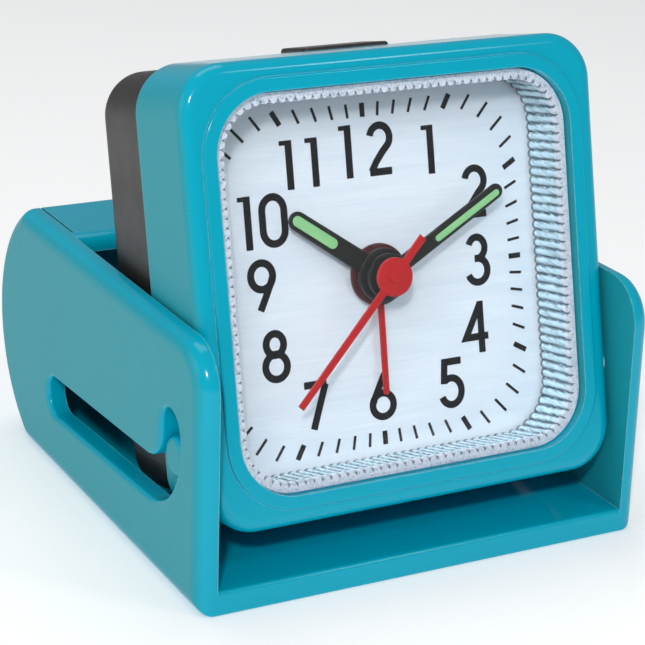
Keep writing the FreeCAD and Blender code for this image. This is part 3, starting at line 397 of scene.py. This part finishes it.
TEAL = grained_teal("teal_plastic_look")
GREY = plastic("grey_plastic_look", (0.021, 0.020, 0.0195), (0.07, 0.065, 0.065), 0.42, 0.3, 0.00025)
BLACK = plastic("black_plastic_look", (0.012, 0.012, 0.013), (0.06, 0.06, 0.06), 0.32, 0.25, 0.00022)
WHITE = plastic("gear_plastic_look", (0.78, 0.77, 0.72), (0.85, 0.85, 0.82), 0.38, 0.2, 0.0002)
CREAM = plastic("movement_plastic_look", (0.70, 0.69, 0.66), (0.8, 0.8, 0.78), 0.4, 0.25, 0.0003)
BOARD = plastic("board_green_look", (0.03, 0.16, 0.06), (0.2, 0.3, 0.2), 0.35, 0.3, 0.0003, coat=0.4)
JACKET = plastic("cell_jacket_look", (0.03, 0.035, 0.04), (0.3, 0.3, 0.3), 0.25, 0.1, 0.0003, coat=0.6)
BRASS = metal("brass_look", (0.78, 0.58, 0.26), 0.28, (300.0, 3000.0, 3000.0))
STEEL = metal("steel_look", (0.62, 0.62, 0.63), 0.28, (3000.0, 400.0, 3000.0))
SPRING = metal("spring_steel_look", (0.68, 0.67, 0.64), 0.22, (400.0, 3000.0, 3000.0))
IRON = metal("soft_iron_look", (0.42, 0.42, 0.44), 0.42, (3000.0, 3000.0, 400.0))
MAGNET = metal("magnet_look", (0.30, 0.30, 0.31), 0.38, (900.0, 900.0, 900.0))
COPPER = metal("copper_look", (0.80, 0.36, 0.20), 0.3, (200.0, 200.0, 9000.0))
DIAL = brushed_dial("silver_dial_look")
INK = printed_ink("dial_ink_look")
BLACK_HAND = painted("black_paint_look", (0.007, 0.007, 0.006), 0.34)
RED_HAND = painted("red_paint_look", (0.38, 0.003, 0.005), 0.36)
# the alarm hub: the hands' red paint darkened as painted shade
SHADED_RED_HUB = painted("shaded_red_hub_look", (0.055, 0.008, 0.010), 0.22)
LUME = luminous("luminous_look")
PANE = clear_pane("window_look")
RIB = ribbed_wall("ribbed_wall_look")
FLANGE = speckled_rim("crystal_rim_look")

LOOKS = {
    "teal_plastic": TEAL, "grey_plastic": GREY, "clear_plastic": PANE, "silver_dial": DIAL,
    "black_plastic": BLACK, "black_paint": BLACK_HAND, "red_paint": RED_HAND,
    "gear_plastic": WHITE, "movement_plastic": CREAM, "brass": BRASS, "steel": STEEL,
    "spring_steel": SPRING, "soft_iron": IRON, "magnet": MAGNET, "copper": COPPER,
    "board_green": BOARD, "cell_jacket": JACKET,
}


def paint_frame():
    """Gives every carried-over CAD node the look of its slot in the record."""
    for entry in frame["record"]["subparts"]:
        mesh = NODES[entry["node"]].data
        mesh.materials.clear()
        mesh.materials.append(LOOKS[entry["material_slot"]])


# ---------------------------------------------------------------- mesh helpers

def to_object(name, mesh_data, material, body, smooth_angle=35.0):
    """Turns a bmesh drawn in the clock's frame into a piece that rides on a body."""
    mesh = bpy.data.meshes.new(name)
    bmesh.ops.recalc_face_normals(mesh_data, faces=mesh_data.faces)
    mesh_data.to_mesh(mesh)
    mesh_data.free()
    mesh.transform(CLOCK)
    mesh.materials.append(material)
    piece = bpy.data.objects.new(name, mesh)
    bpy.context.scene.collection.objects.link(piece)
    for polygon in mesh.polygons:
        polygon.use_smooth = True
    mesh.set_sharp_from_angle(angle=math.radians(smooth_angle))
    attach(piece, body)
    return piece


def add_prism(bm, outline, front, back, chamfer):
    """A closed plate over an outline of (u, w) points, with its front edge chamfered."""
    rings = [
        [bm.verts.new((u, front, w)) for u, w in inset(outline, chamfer)],
        [bm.verts.new((u, front + chamfer, w)) for u, w in outline],
        [bm.verts.new((u, back, w)) for u, w in outline],
    ]
    bm.faces.new(rings[0])
    bm.faces.new(list(reversed(rings[-1])))
    for first, second in zip(rings, rings[1:]):
        bridge(bm, first, second)


def bridge(bm, first, second):
    count = len(first)
    for index in range(count):
        after = (index + 1) % count
        bm.faces.new((first[index], first[after], second[after], second[index]))


def inset(outline, amount):
    """The outline moved inwards by an amount, corner by corner."""
    area = sum(
        a[0] * b[1] - b[0] * a[1] for a, b in zip(outline, outline[1:] + outline[:1])
    )
    turn = 1 if area > 0 else -1
    moved = []
    count = len(outline)
    for index in range(count):
        before, here, after = outline[index - 1], outline[index], outline[(index + 1) % count]
        first = Vector((here[0] - before[0], here[1] - before[1])).normalized()
        second = Vector((after[0] - here[0], after[1] - here[1])).normalized()
        middle = (first + second).normalized()
        normal = Vector((-middle.y, middle.x)) * turn
        lean = max(normal.dot(Vector((-first.y, first.x)) * turn), 0.35)
        moved.append((here[0] + normal.x * amount / lean, here[1] + normal.y * amount / lean))
    return moved


def lathe(bm, profile, segments=96):
    """Turns a closed (radius, depth) profile about the hands' axis."""
    rings = []
    for radius, depth in profile:
        if radius < 1e-6:
            rings.append([bm.verts.new((0.0, depth, CENTRE_W))])
            continue
        ring = []
        for index in range(segments):
            angle = 2 * math.pi * index / segments
            across, rise = radius * math.cos(angle), radius * math.sin(angle)
            ring.append(bm.verts.new((across, depth, CENTRE_W + rise)))
        rings.append(ring)
    for first, second in zip(rings, rings[1:]):
        if len(first) == 1:
            for index in range(segments):
                bm.faces.new((first[0], second[index], second[(index + 1) % segments]))
        elif len(second) == 1:
            for index in range(segments):
                bm.faces.new((first[index], first[(index + 1) % segments], second[0]))
        else:
            bridge(bm, first, second)


# ---------------------------------------------------------------- printing on the dial

PRINT_HEIGHT = 0.03
TICK_SQUARE = 22.5
TICK_CORNER = 9.0
TICK_CENTRE = (-0.25, -0.42)
TICK_LENGTH = 1.9
NUMERAL_STROKE = 1.02
FLAG_SHARE = 0.62
HOUR_TICK = 0.75
MINUTE_TICK = 0.40
PRINT_SINK = 0.01


def stroke_outline(points, width, closed=False):
    """The outline of a line of even width through points, or the two rims of a closed one."""
    half = width / 2
    left, right = [], []
    count = len(points)
    for index, here in enumerate(points):
        before = points[index - 1] if (index > 0 or closed) else here
        after = points[(index + 1) % count] if (index < count - 1 or closed) else here
        first = Vector((here[0] - before[0], here[1] - before[1]))
        second = Vector((after[0] - here[0], after[1] - here[1]))
        first = first.normalized() if first.length > 1e-9 else second.normalized()
        second = second.normalized() if second.length > 1e-9 else first
        middle = (first + second).normalized()
        normal = Vector((-middle.y, middle.x))
        reach = half / max(normal.dot(Vector((-first.y, first.x))), 0.45)
        left.append((here[0] + normal.x * reach, here[1] + normal.y * reach))
        right.append((here[0] - normal.x * reach, here[1] - normal.y * reach))
    return left, right


def add_stroke(bm, points, width, closed=False):
    """Lays a printed line on the dial as a thin closed ribbon."""
    left, right = stroke_outline(points, width, closed)
    front, back = DIAL_FRONT - PRINT_HEIGHT, DIAL_FRONT + PRINT_SINK
    corners = []
    for u_left, u_right in zip(left, right):
        corners.append([
            bm.verts.new((u_left[0], front, u_left[1])),
            bm.verts.new((u_right[0], front, u_right[1])),
            bm.verts.new((u_right[0], back, u_right[1])),
            bm.verts.new((u_left[0], back, u_left[1])),
        ])
    following = corners[1:] + corners[:1] if closed else corners[1:]
    for first, second in zip(corners, following):
        bridge(bm, first, second)
    if not closed:
        bm.faces.new(corners[0])
        bm.faces.new(list(reversed(corners[-1])))


def arc(centre, radii, start, end, steps=18):
    """Points along an ellipse from start to end, in degrees up from the right."""
    points = []
    for index in range(steps + 1):
        angle = math.radians(start + (end - start) * index / steps)
        across, rise = radii[0] * math.cos(angle), radii[1] * math.sin(angle)
        points.append((centre[0] + across, centre[1] + rise))
    return points


def digit(kind):
    """A condensed figure in a box 1 wide and 2 high. Each stroke: points, closed, maybe a thinness."""
    if kind == "0":
        caps = arc((0.5, 1.42), (0.5, 0.58), 0, 180) + arc((0.5, 0.58), (0.5, 0.58), 180, 360)
        return [(caps, True)]
    if kind == "1":
        flag = ([(-0.42, 2.03), (0.5, 2.03)], False, FLAG_SHARE)
        return [flag, ([(0.5, 2.14), (0.5, -0.14)], False)]
    if kind == "2":
        bend = arc((0.5, 1.47), (0.47, 0.53), 168, -38, 22)
        return [(bend + [(0.62, 0.88), (0.28, 0.45), (0.03, 0.03)], False),
                ([(-0.05, 0.0), (1.0, 0.0)], False)]
    if kind == "3":
        upper = arc((0.47, 1.53), (0.40, 0.47), 160, -80, 20)
        lower = arc((0.47, 0.53), (0.48, 0.53), 82, -162, 24)
        return [(upper, False), (lower, False), ([(0.34, 1.06), (0.60, 1.06)], False)]
    if kind == "4":
        return [([(0.78, -0.14), (0.78, 2.14)], False),
                ([(0.76, 2.0), (0.0, 0.58), (1.12, 0.58)], False)]
    if kind == "5":
        bowl = arc((0.45, 0.62), (0.50, 0.62), 128, -160, 28)
        return [([(1.0, 2.0), (0.18, 2.0), (0.10, 1.0)], False), (bowl, False)]
    if kind == "6":
        return [(arc((0.5, 0.56), (0.5, 0.56), 0, 352, 44), True),
                ([(0.66, 2.02), (0.40, 1.50), (0.12, 0.92), (0.03, 0.68)], False)]
    if kind == "7":
        return [([(-0.02, 2.0), (1.04, 2.0)], False), ([(0.98, 1.98), (0.30, -0.12)], False)]
    if kind == "8":
        return [(arc((0.5, 1.50), (0.40, 0.47), 0, 352, 40), True),
                (arc((0.5, 0.52), (0.5, 0.55), 0, 352, 44), True)]
    return [(arc((0.5, 1.44), (0.5, 0.56), 0, 352, 44), True),
            ([(0.34, -0.02), (0.60, 0.50), (0.88, 1.08), (0.97, 1.32)], False)]


# where each hour's figures stand: left, right, bottom, top of the whole number
HOUR_BOXES = {
    "12": (-3.96, 4.24, 13.0, 20.3), "1": (8.56, 10.55, 12.3, 19.2),
    "2": (14.4, 18.6, 5.6, 13.0), "3": (14.15, 18.4, -3.95, 3.4),
    "4": (12.9, 17.5, -13.4, -6.0), "5": (8.6, 13.1, -20.5, -13.4),
    "6": (-2.6, 2.2, -20.5, -13.6), "7": (-12.7, -8.0, -20.3, -13.5),
    "8": (-18.2, -13.5, -12.9, -5.7), "9": (-19.3, -14.7, -3.5, 3.85),
    "10": (-19.6, -12.5, 5.1, 12.4), "11": (-12.9, -7.35, 12.4, 19.2),
}
WIDE_DIGIT = 4.25
NARROW_DIGIT = 1.75


def add_number(bm, text, box):
    """Sets a number's figures side by side inside its box."""
    left, right, bottom, top = box
    half = NUMERAL_STROKE / 2
    widths = [NARROW_DIGIT if kind == "1" else WIDE_DIGIT for kind in text]
    gap = (right - left - sum(widths)) / max(len(text) - 1, 1)
    cursor = left if len(text) > 1 else left + (right - left - widths[0]) / 2
    for kind, width in zip(text, widths):
        across = (width - NUMERAL_STROKE) / (0.5 if kind == "1" else 1.0)
        rise = (top - bottom - NUMERAL_STROKE) / 2
        for points, closed, *share in digit(kind):
            thickness = NUMERAL_STROKE * (share[0] if share else 1.0)
            placed = [(cursor + half + x * across, bottom + half + y * rise) for x, y in points]
            add_stroke(bm, placed, thickness, closed)
        cursor += width + gap


def square_reach(angle, half, corner):
    """How far a rounded square's edge lies from its middle, in a direction clockwise from up."""
    across, along = abs(math.sin(angle)), abs(math.cos(angle))
    flat = half / max(across, along)
    u, w = flat * across, flat * along
    inner = half - corner
    if u <= inner or w <= inner:
        return flat
    dot = inner * (across + along)
    return dot + math.sqrt(dot * dot - 2 * inner * inner + corner * corner)


def build_dial_print():
    bm = bmesh.new()
    for text, box in HOUR_BOXES.items():
        add_number(bm, text, box)
    for minute in range(60):
        angle = math.radians(6 * minute)
        reach = square_reach(angle, TICK_SQUARE, TICK_CORNER)
        half = TICK_LENGTH / 2 / max(abs(math.sin(angle)), abs(math.cos(angle)))
        direction = (math.sin(angle), math.cos(angle))
        ends = [
            (TICK_CENTRE[0] + direction[0] * r, TICK_CENTRE[1] + direction[1] * r)
            for r in (reach - half, reach + half)
        ]
        add_stroke(bm, ends, HOUR_TICK if minute % 5 == 0 else MINUTE_TICK)
    return to_object("dial_print", bm, INK, "head", 30.0)


# ---------------------------------------------------------------- hands
# angles in degrees clockwise from twelve, lengths from the centre, fronts as depths

HOUR_ANGLE = 305.6
HOUR_LENGTH = 16.2
HOUR_WIDTHS = (2.9, 2.6)
HOUR_FRONT = 7.42
MINUTE_ANGLE = 61.6
MINUTE_LENGTH = 21.1
MINUTE_WIDTHS = (2.2, 2.1)
MINUTE_FRONT = 5.92
SECOND_ANGLE = 224.5
SECOND_LENGTH = 21.9
SECOND_TAIL = 6.8
SECOND_WIDTHS = (1.15, 0.95)
SECOND_FRONT = 4.16
ALARM_ANGLE = 180.4
ALARM_LENGTH = 16.6
ALARM_WIDTHS = (0.9, 0.85)
ALARM_FRONT = 8.52
BLACK_THICKNESS = 0.46
BLACK_CHAMFER = 0.14
SECOND_THICKNESS = 0.30
ALARM_THICKNESS = 0.34
RED_CHAMFER = 0.08
LUME_RAISE = 0.06
LUME_SINK = 0.18
LUME_CHAMFER = 0.05
ALARM_BORE = 2.32
HOUR_BORE = 1.72
MINUTE_BORE = 1.12


def turned(points, angle):
    """Points drawn about the hands' centre, pointing up, turned clockwise by an angle."""
    turn = math.radians(angle)
    return [
        (x * math.cos(turn) + z * math.sin(turn), CENTRE_W - x * math.sin(turn) + z * math.cos(turn))
        for x, z in points
    ]


def half_turn(steps):
    return [math.pi * index / steps for index in range(steps + 1)]


def hand_points(length, widths, tail, angle, round_tip):
    """A hand's outline: its width at the hub and at the tip, and a round or a square tip."""
    hub_half, half = widths[0] / 2, widths[1] / 2
    points = [(-hub_half, -tail), (hub_half, -tail)]
    if round_tip:
        points += [
            (half * math.cos(a), length - half + half * math.sin(a)) for a in half_turn(14)
        ]
    else:
        points += [(half, length), (-half, length)]
    return turned(points, angle)


def strip_points(start, end, width, offset, angle):
    """A luminous strip's outline along a hand: round at both ends."""
    half = width / 2
    points = [
        (offset + half * math.cos(a), end - half + half * math.sin(a)) for a in half_turn(10)
    ]
    points += [
        (offset - half * math.cos(a), start + half - half * math.sin(a)) for a in half_turn(10)
    ]
    return turned(points, angle)


def rounded_disc(radius, front, back, edge, bore=0.0):
    """A disc's (radius, depth) profile with a rounded front edge."""
    profile = [(bore, front)]
    for step in range(5):
        a = math.pi / 2 * step / 4
        profile.append((radius - edge + edge * math.sin(a), front + edge - edge * math.cos(a)))
    profile.append((radius, back))
    profile.append((bore, back))
    if bore > 0:
        profile.append((bore, front))
    return profile


def build_lume(name, body, outline, hand_front):
    bm = bmesh.new()
    add_prism(bm, outline, hand_front - LUME_RAISE, hand_front + LUME_SINK, LUME_CHAMFER)
    to_object(name, bm, LUME, body)


def build_hour_hand():
    bm = bmesh.new()
    outline = hand_points(HOUR_LENGTH, HOUR_WIDTHS, 0.0, HOUR_ANGLE, True)
    add_prism(bm, outline, HOUR_FRONT, HOUR_FRONT + BLACK_THICKNESS, BLACK_CHAMFER)
    lathe(bm, rounded_disc(3.7, 7.0, 7.9, 0.18, HOUR_BORE))
    hand = to_object("hour_hand_shell", bm, BLACK_HAND, "hour")
    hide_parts("hour_hand")
    strip = strip_points(8.2, 15.75, 1.45, -0.05, HOUR_ANGLE)
    build_lume("hour_hand_lume", "hour", strip, HOUR_FRONT)


def build_minute_hand():
    bm = bmesh.new()
    outline = hand_points(MINUTE_LENGTH, MINUTE_WIDTHS, 0.0, MINUTE_ANGLE, True)
    add_prism(bm, outline, MINUTE_FRONT, MINUTE_FRONT + BLACK_THICKNESS, BLACK_CHAMFER)
    lathe(bm, rounded_disc(3.1, 5.55, 6.4, 0.18, MINUTE_BORE))
    lathe(bm, rounded_disc(2.2, 5.3, 5.6, 0.12, MINUTE_BORE))
    hand = to_object("minute_hand_shell", bm, BLACK_HAND, "minute")
    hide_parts("minute_hand")
    strip = strip_points(8.6, 20.4, 0.92, 0.14, MINUTE_ANGLE)
    build_lume("minute_hand_lume", "minute", strip, MINUTE_FRONT)


def build_second_hand():
    """Square-ended red needle with a counterweight tail, a round disc and a small cap."""
    bm = bmesh.new()
    outline = hand_points(SECOND_LENGTH, SECOND_WIDTHS, SECOND_TAIL, SECOND_ANGLE, False)
    add_prism(bm, outline, SECOND_FRONT, SECOND_FRONT + SECOND_THICKNESS, RED_CHAMFER)
    lathe(bm, rounded_disc(2.65, 4.02, 4.5, 0.14))
    lathe(bm, rounded_disc(0.85, 3.84, 4.1, 0.12))
    hand = to_object("second_hand_shell", bm, RED_HAND, "second")
    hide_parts("second_hand")


def build_alarm_hand():
    bm = bmesh.new()
    outline = hand_points(ALARM_LENGTH, ALARM_WIDTHS, 0.0, ALARM_ANGLE, True)
    add_prism(bm, outline, ALARM_FRONT, ALARM_FRONT + ALARM_THICKNESS, RED_CHAMFER)
    hand = to_object("alarm_hand_shell", bm, RED_HAND, "alarm")
    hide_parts("alarm_hand")
    bm = bmesh.new()
    lathe(bm, rounded_disc(4.25, 8.5, 8.95, 0.16, ALARM_BORE))
    lathe(bm, rounded_disc(3.9, 8.9, 9.5, 0.1, ALARM_BORE))
    to_object("alarm_hand_hub", bm, SHADED_RED_HUB, "alarm")


# ---------------------------------------------------------------- crystal

RIB_FRONT_HALF = (25.25, 25.05)
RIB_CORNER = 6.85
RIM_WIDTH = 1.05
RIB_PITCH = 1.25
RIB_HEIGHT = 0.34
RIB_STEPS = 6
WINDOW_HALF = (25.12, 24.92)
WINDOW_CORNER = 6.7
WINDOW_FRONT = 1.02
WINDOW_BACK = 1.9
RIM_FRONT = 0.95
RIM_BACK = 2.0
WALL_FRONT = 2.05
WALL_FOOT = 9.62
WALL_OUTSIDE = 0.85
# the wall's inner face: how far out from the front, the depth, and how dark the painted shadow at the foot is
# there
WALL_PROFILE = (
    (0.0, WALL_FRONT, 0.0), (0.25, 5.9, 0.0), (0.43, 8.9, 0.0), (0.44, 9.2, 1.0),
    (0.45, WALL_FOOT, 1.0),
)


def rounded_rectangle(half, corner, spacing):
    """Points and outward directions round a rounded rectangle, evenly spaced, and its length."""
    straight_u, straight_w = 2 * (half[0] - corner), 2 * (half[1] - corner)
    quarter = math.pi * corner / 2
    length = 2 * (straight_u + straight_w) + 4 * quarter
    count = max(round(length / spacing), 8)
    pieces = (
        ("line", straight_w, (half[0], -half[1] + corner), (0, 1)),
        ("arc", quarter, (half[0] - corner, half[1] - corner), 0.0),
        ("line", straight_u, (half[0] - corner, half[1]), (-1, 0)),
        ("arc", quarter, (-half[0] + corner, half[1] - corner), 90.0),
        ("line", straight_w, (-half[0], half[1] - corner), (0, -1)),
        ("arc", quarter, (-half[0] + corner, -half[1] + corner), 180.0),
        ("line", straight_u, (-half[0] + corner, -half[1]), (1, 0)),
        ("arc", quarter, (half[0] - corner, -half[1] + corner), 270.0),
    )
    points = []
    for index in range(count):
        along = length * index / count
        for kind, size, start, way in pieces:
            if along <= size:
                break
            along -= size
        if kind == "line":
            point = (start[0] + way[0] * along, start[1] + way[1] * along)
            points.append((point, (way[1], -way[0])))
        else:
            angle = math.radians(way) + along / corner
            out = (math.cos(angle), math.sin(angle))
            points.append(((start[0] + corner * out[0], start[1] + corner * out[1]), out))
    return points


def offset_ring(bm, points, amount, depth, wave=None):
    ring = []
    for index, (point, out) in enumerate(points):
        move = amount + (wave(index) if wave else 0.0)
        ring.append(bm.verts.new((point[0] + out[0] * move, depth, point[1] + out[1] * move)))
    return ring


def ridge_share(index):
    """How high the wall stands at a step round a rib: 1 on the ridge, 0 in the sharp valley."""
    phase = (index % RIB_STEPS) / RIB_STEPS
    return abs(math.sin(math.pi * phase)) ** 0.8


def rib_wave(index):
    return -RIB_HEIGHT * ridge_share(index)


def rib_points():
    """Points round the ribbed wall's front, a whole number of ribs, RIB_STEPS to each."""
    straight = RIB_FRONT_HALF[0] + RIB_FRONT_HALF[1] - 2 * RIB_CORNER
    length = 4 * straight + 2 * math.pi * RIB_CORNER
    ribs = round(length / RIB_PITCH)
    return rounded_rectangle(RIB_FRONT_HALF, RIB_CORNER, length / (ribs * RIB_STEPS))


def build_ribbed_wall(points):
    bm = bmesh.new()
    ridge = bm.verts.layers.float.new("ridge")
    foot_shadow = bm.verts.layers.float.new("foot_shadow")
    rings = []
    # the last column sets how much painted shadow darkens the foot
    for amount, depth, foot_shadow_share in WALL_PROFILE:
        ring = offset_ring(bm, points, amount, depth, rib_wave)
        for index, vertex in enumerate(ring):
            vertex[ridge] = ridge_share(index)
            vertex[foot_shadow] = foot_shadow_share
        rings.append(ring)
    rings.append(offset_ring(bm, points, WALL_OUTSIDE, WALL_FOOT))
    rings.append(offset_ring(bm, points, WALL_OUTSIDE, WALL_FRONT))
    for first, second in zip(rings, rings[1:] + rings[:1]):
        bridge(bm, first, second)
    wall = to_object("crystal_ribbed_wall", bm, RIB, "head", 60.0)
    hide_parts("crystal")


def build_rim(points):
    """Flat rim round the window, its inner edge beaded like the ribs below it."""
    bm = bmesh.new()
    ridge = bm.verts.layers.float.new("ridge")
    rings = [
        offset_ring(bm, points, 0.40, RIM_FRONT),
        offset_ring(bm, points, RIM_WIDTH - 0.12, RIM_FRONT),
        offset_ring(bm, points, RIM_WIDTH, RIM_FRONT + 0.15),
        offset_ring(bm, points, RIM_WIDTH, RIM_BACK),
        offset_ring(bm, points, -0.15, RIM_BACK, rib_wave),
        offset_ring(bm, points, -0.15, RIM_FRONT + 0.1, rib_wave),
        offset_ring(bm, points, -0.05, RIM_FRONT, rib_wave),
    ]
    plain, beaded = rings[:4], rings[4:]
    for ring in plain:
        for vertex in ring:
            vertex[ridge] = 1.0
    for ring in beaded:
        for index, vertex in enumerate(ring):
            vertex[ridge] = ridge_share(index)
    for first, second in zip(rings, rings[1:] + rings[:1]):
        bridge(bm, first, second)
    to_object("crystal_rim", bm, FLANGE, "head", 30.0)


def build_window():
    bm = bmesh.new()
    window = rounded_rectangle(WINDOW_HALF, WINDOW_CORNER, 0.6)
    rings = [
        offset_ring(bm, window, -0.1, WINDOW_FRONT),
        offset_ring(bm, window, 0.0, WINDOW_FRONT + 0.08),
        offset_ring(bm, window, 0.0, WINDOW_BACK),
    ]
    bm.faces.new(rings[0])
    bm.faces.new(list(reversed(rings[-1])))
    for first, second in zip(rings, rings[1:]):
        bridge(bm, first, second)
    to_object("crystal_window", bm, PANE, "head", 30.0)


def build_crystal():
    """Clear moulding: flat window, speckled rim, and a deep wall whose inner face is ribbed."""
    points = rib_points()
    build_ribbed_wall(points)
    build_rim(points)
    build_window()


# ---------------------------------------------------------------- stage, light and camera

CAMERA_PLACE = Vector((-0.138644, -0.265445, 0.133193))
CAMERA_AZIMUTH = math.radians(-28.036)
CAMERA_RISE = math.radians(20.167)
CAMERA_ROLL = math.radians(1.778)
CAMERA_LENS = 122.31
FLOOR_REACH = 3.0
FLOOR_GAP = 0.00005
AIM = (0, 0, 0.03)


def place_camera():
    back = Vector((
        math.sin(CAMERA_AZIMUTH) * math.cos(CAMERA_RISE),
        -math.cos(CAMERA_AZIMUTH) * math.cos(CAMERA_RISE),
        math.sin(CAMERA_RISE),
    ))
    forward = -back
    right = forward.cross(Vector((0, 0, 1))).normalized()
    up = right.cross(forward)
    turned_right = right * math.cos(CAMERA_ROLL) + up * math.sin(CAMERA_ROLL)
    turned_up = up * math.cos(CAMERA_ROLL) - right * math.sin(CAMERA_ROLL)
    data = bpy.data.cameras.new("camera")
    data.lens = CAMERA_LENS
    data.sensor_width = 36.0
    data.clip_start = 0.01
    data.clip_end = 20.0
    camera = bpy.data.objects.new("camera", data)
    camera.matrix_world = Matrix((
        (turned_right.x, turned_up.x, back.x, CAMERA_PLACE.x),
        (turned_right.y, turned_up.y, back.y, CAMERA_PLACE.y),
        (turned_right.z, turned_up.z, back.z, CAMERA_PLACE.z),
        (0, 0, 0, 1),
    ))
    bpy.context.scene.collection.objects.link(camera)
    bpy.context.scene.camera = camera


def area_light(name, place, target, size, power, colour=(1.0, 1.0, 1.0)):
    data = bpy.data.lights.new(name, "AREA")
    data.shape = "RECTANGLE"
    data.size, data.size_y = size
    data.energy = power
    data.color = colour
    light = bpy.data.objects.new(name, data)
    light.location = place
    aim = Vector(target) - Vector(place)
    light.rotation_euler = aim.to_track_quat("-Z", "Y").to_euler()
    bpy.context.scene.collection.objects.link(light)
    return light


def build_floor():
    """Plain pale floor, with a small glow of its own."""
    floor_mesh = bpy.data.meshes.new("floor")
    bm = bmesh.new()
    corners = [
        bm.verts.new((x * FLOOR_REACH, y * FLOOR_REACH, 0.0))
        for x, y in ((-1, -1), (1, -1), (1, 1), (-1, 1))
    ]
    bm.faces.new(corners)
    bm.to_mesh(floor_mesh)
    bm.free()
    floor = bpy.data.objects.new("floor", floor_mesh)
    floor.location.z = -FLOOR_GAP
    material, tree, shader = new_material("floor_look")
    coords = object_coords(tree)
    speck = remap(tree, noise(tree, coords, 25.0), 0.3, 0.7, 0.0, 1.0)
    base = mix_colours(tree, speck, (0.96, 0.96, 0.96), (0.945, 0.945, 0.95))
    tree.links.new(base, shader.inputs["Base Color"])
    shader.inputs["Roughness"].default_value = 0.75
    shader.inputs["Emission Color"].default_value = (1.0, 1.0, 1.0, 1.0)
    shader.inputs["Emission Strength"].default_value = 0.20
    floor.data.materials.append(material)
    bpy.context.scene.collection.objects.link(floor)


def build_lights():
    """A small key light by the camera, soft fills at both sides, a soft one above, and a pale world."""
    world = bpy.data.worlds.new("studio")
    world.use_nodes = True
    background = world.node_tree.nodes["Background"]
    background.inputs["Color"].default_value = (0.96, 0.98, 1.0, 1.0)
    background.inputs["Strength"].default_value = 0.30
    bpy.context.scene.world = world
    bpy.context.scene.view_settings.view_transform = "Standard"
    area_light("key", (-0.311, -0.498, 0.411), AIM, (0.05, 0.05), 1.98)
    area_light("left_fill", (-0.75, 0.10, 0.30), AIM, (0.55, 0.45), 0.92)
    area_light("right_fill", (0.33, -0.45, 0.53), AIM, (0.10, 0.10), 0.42)
    area_light("top", (0.0, 0.20, 0.75), AIM, (0.5, 0.4), 1.6)


# ---------------------------------------------------------------- everything together

place_camera()
build_floor()
build_lights()
paint_frame()
build_dial_print()
build_hour_hand()
build_minute_hand()
build_second_hand()
build_alarm_hand()
build_crystal()
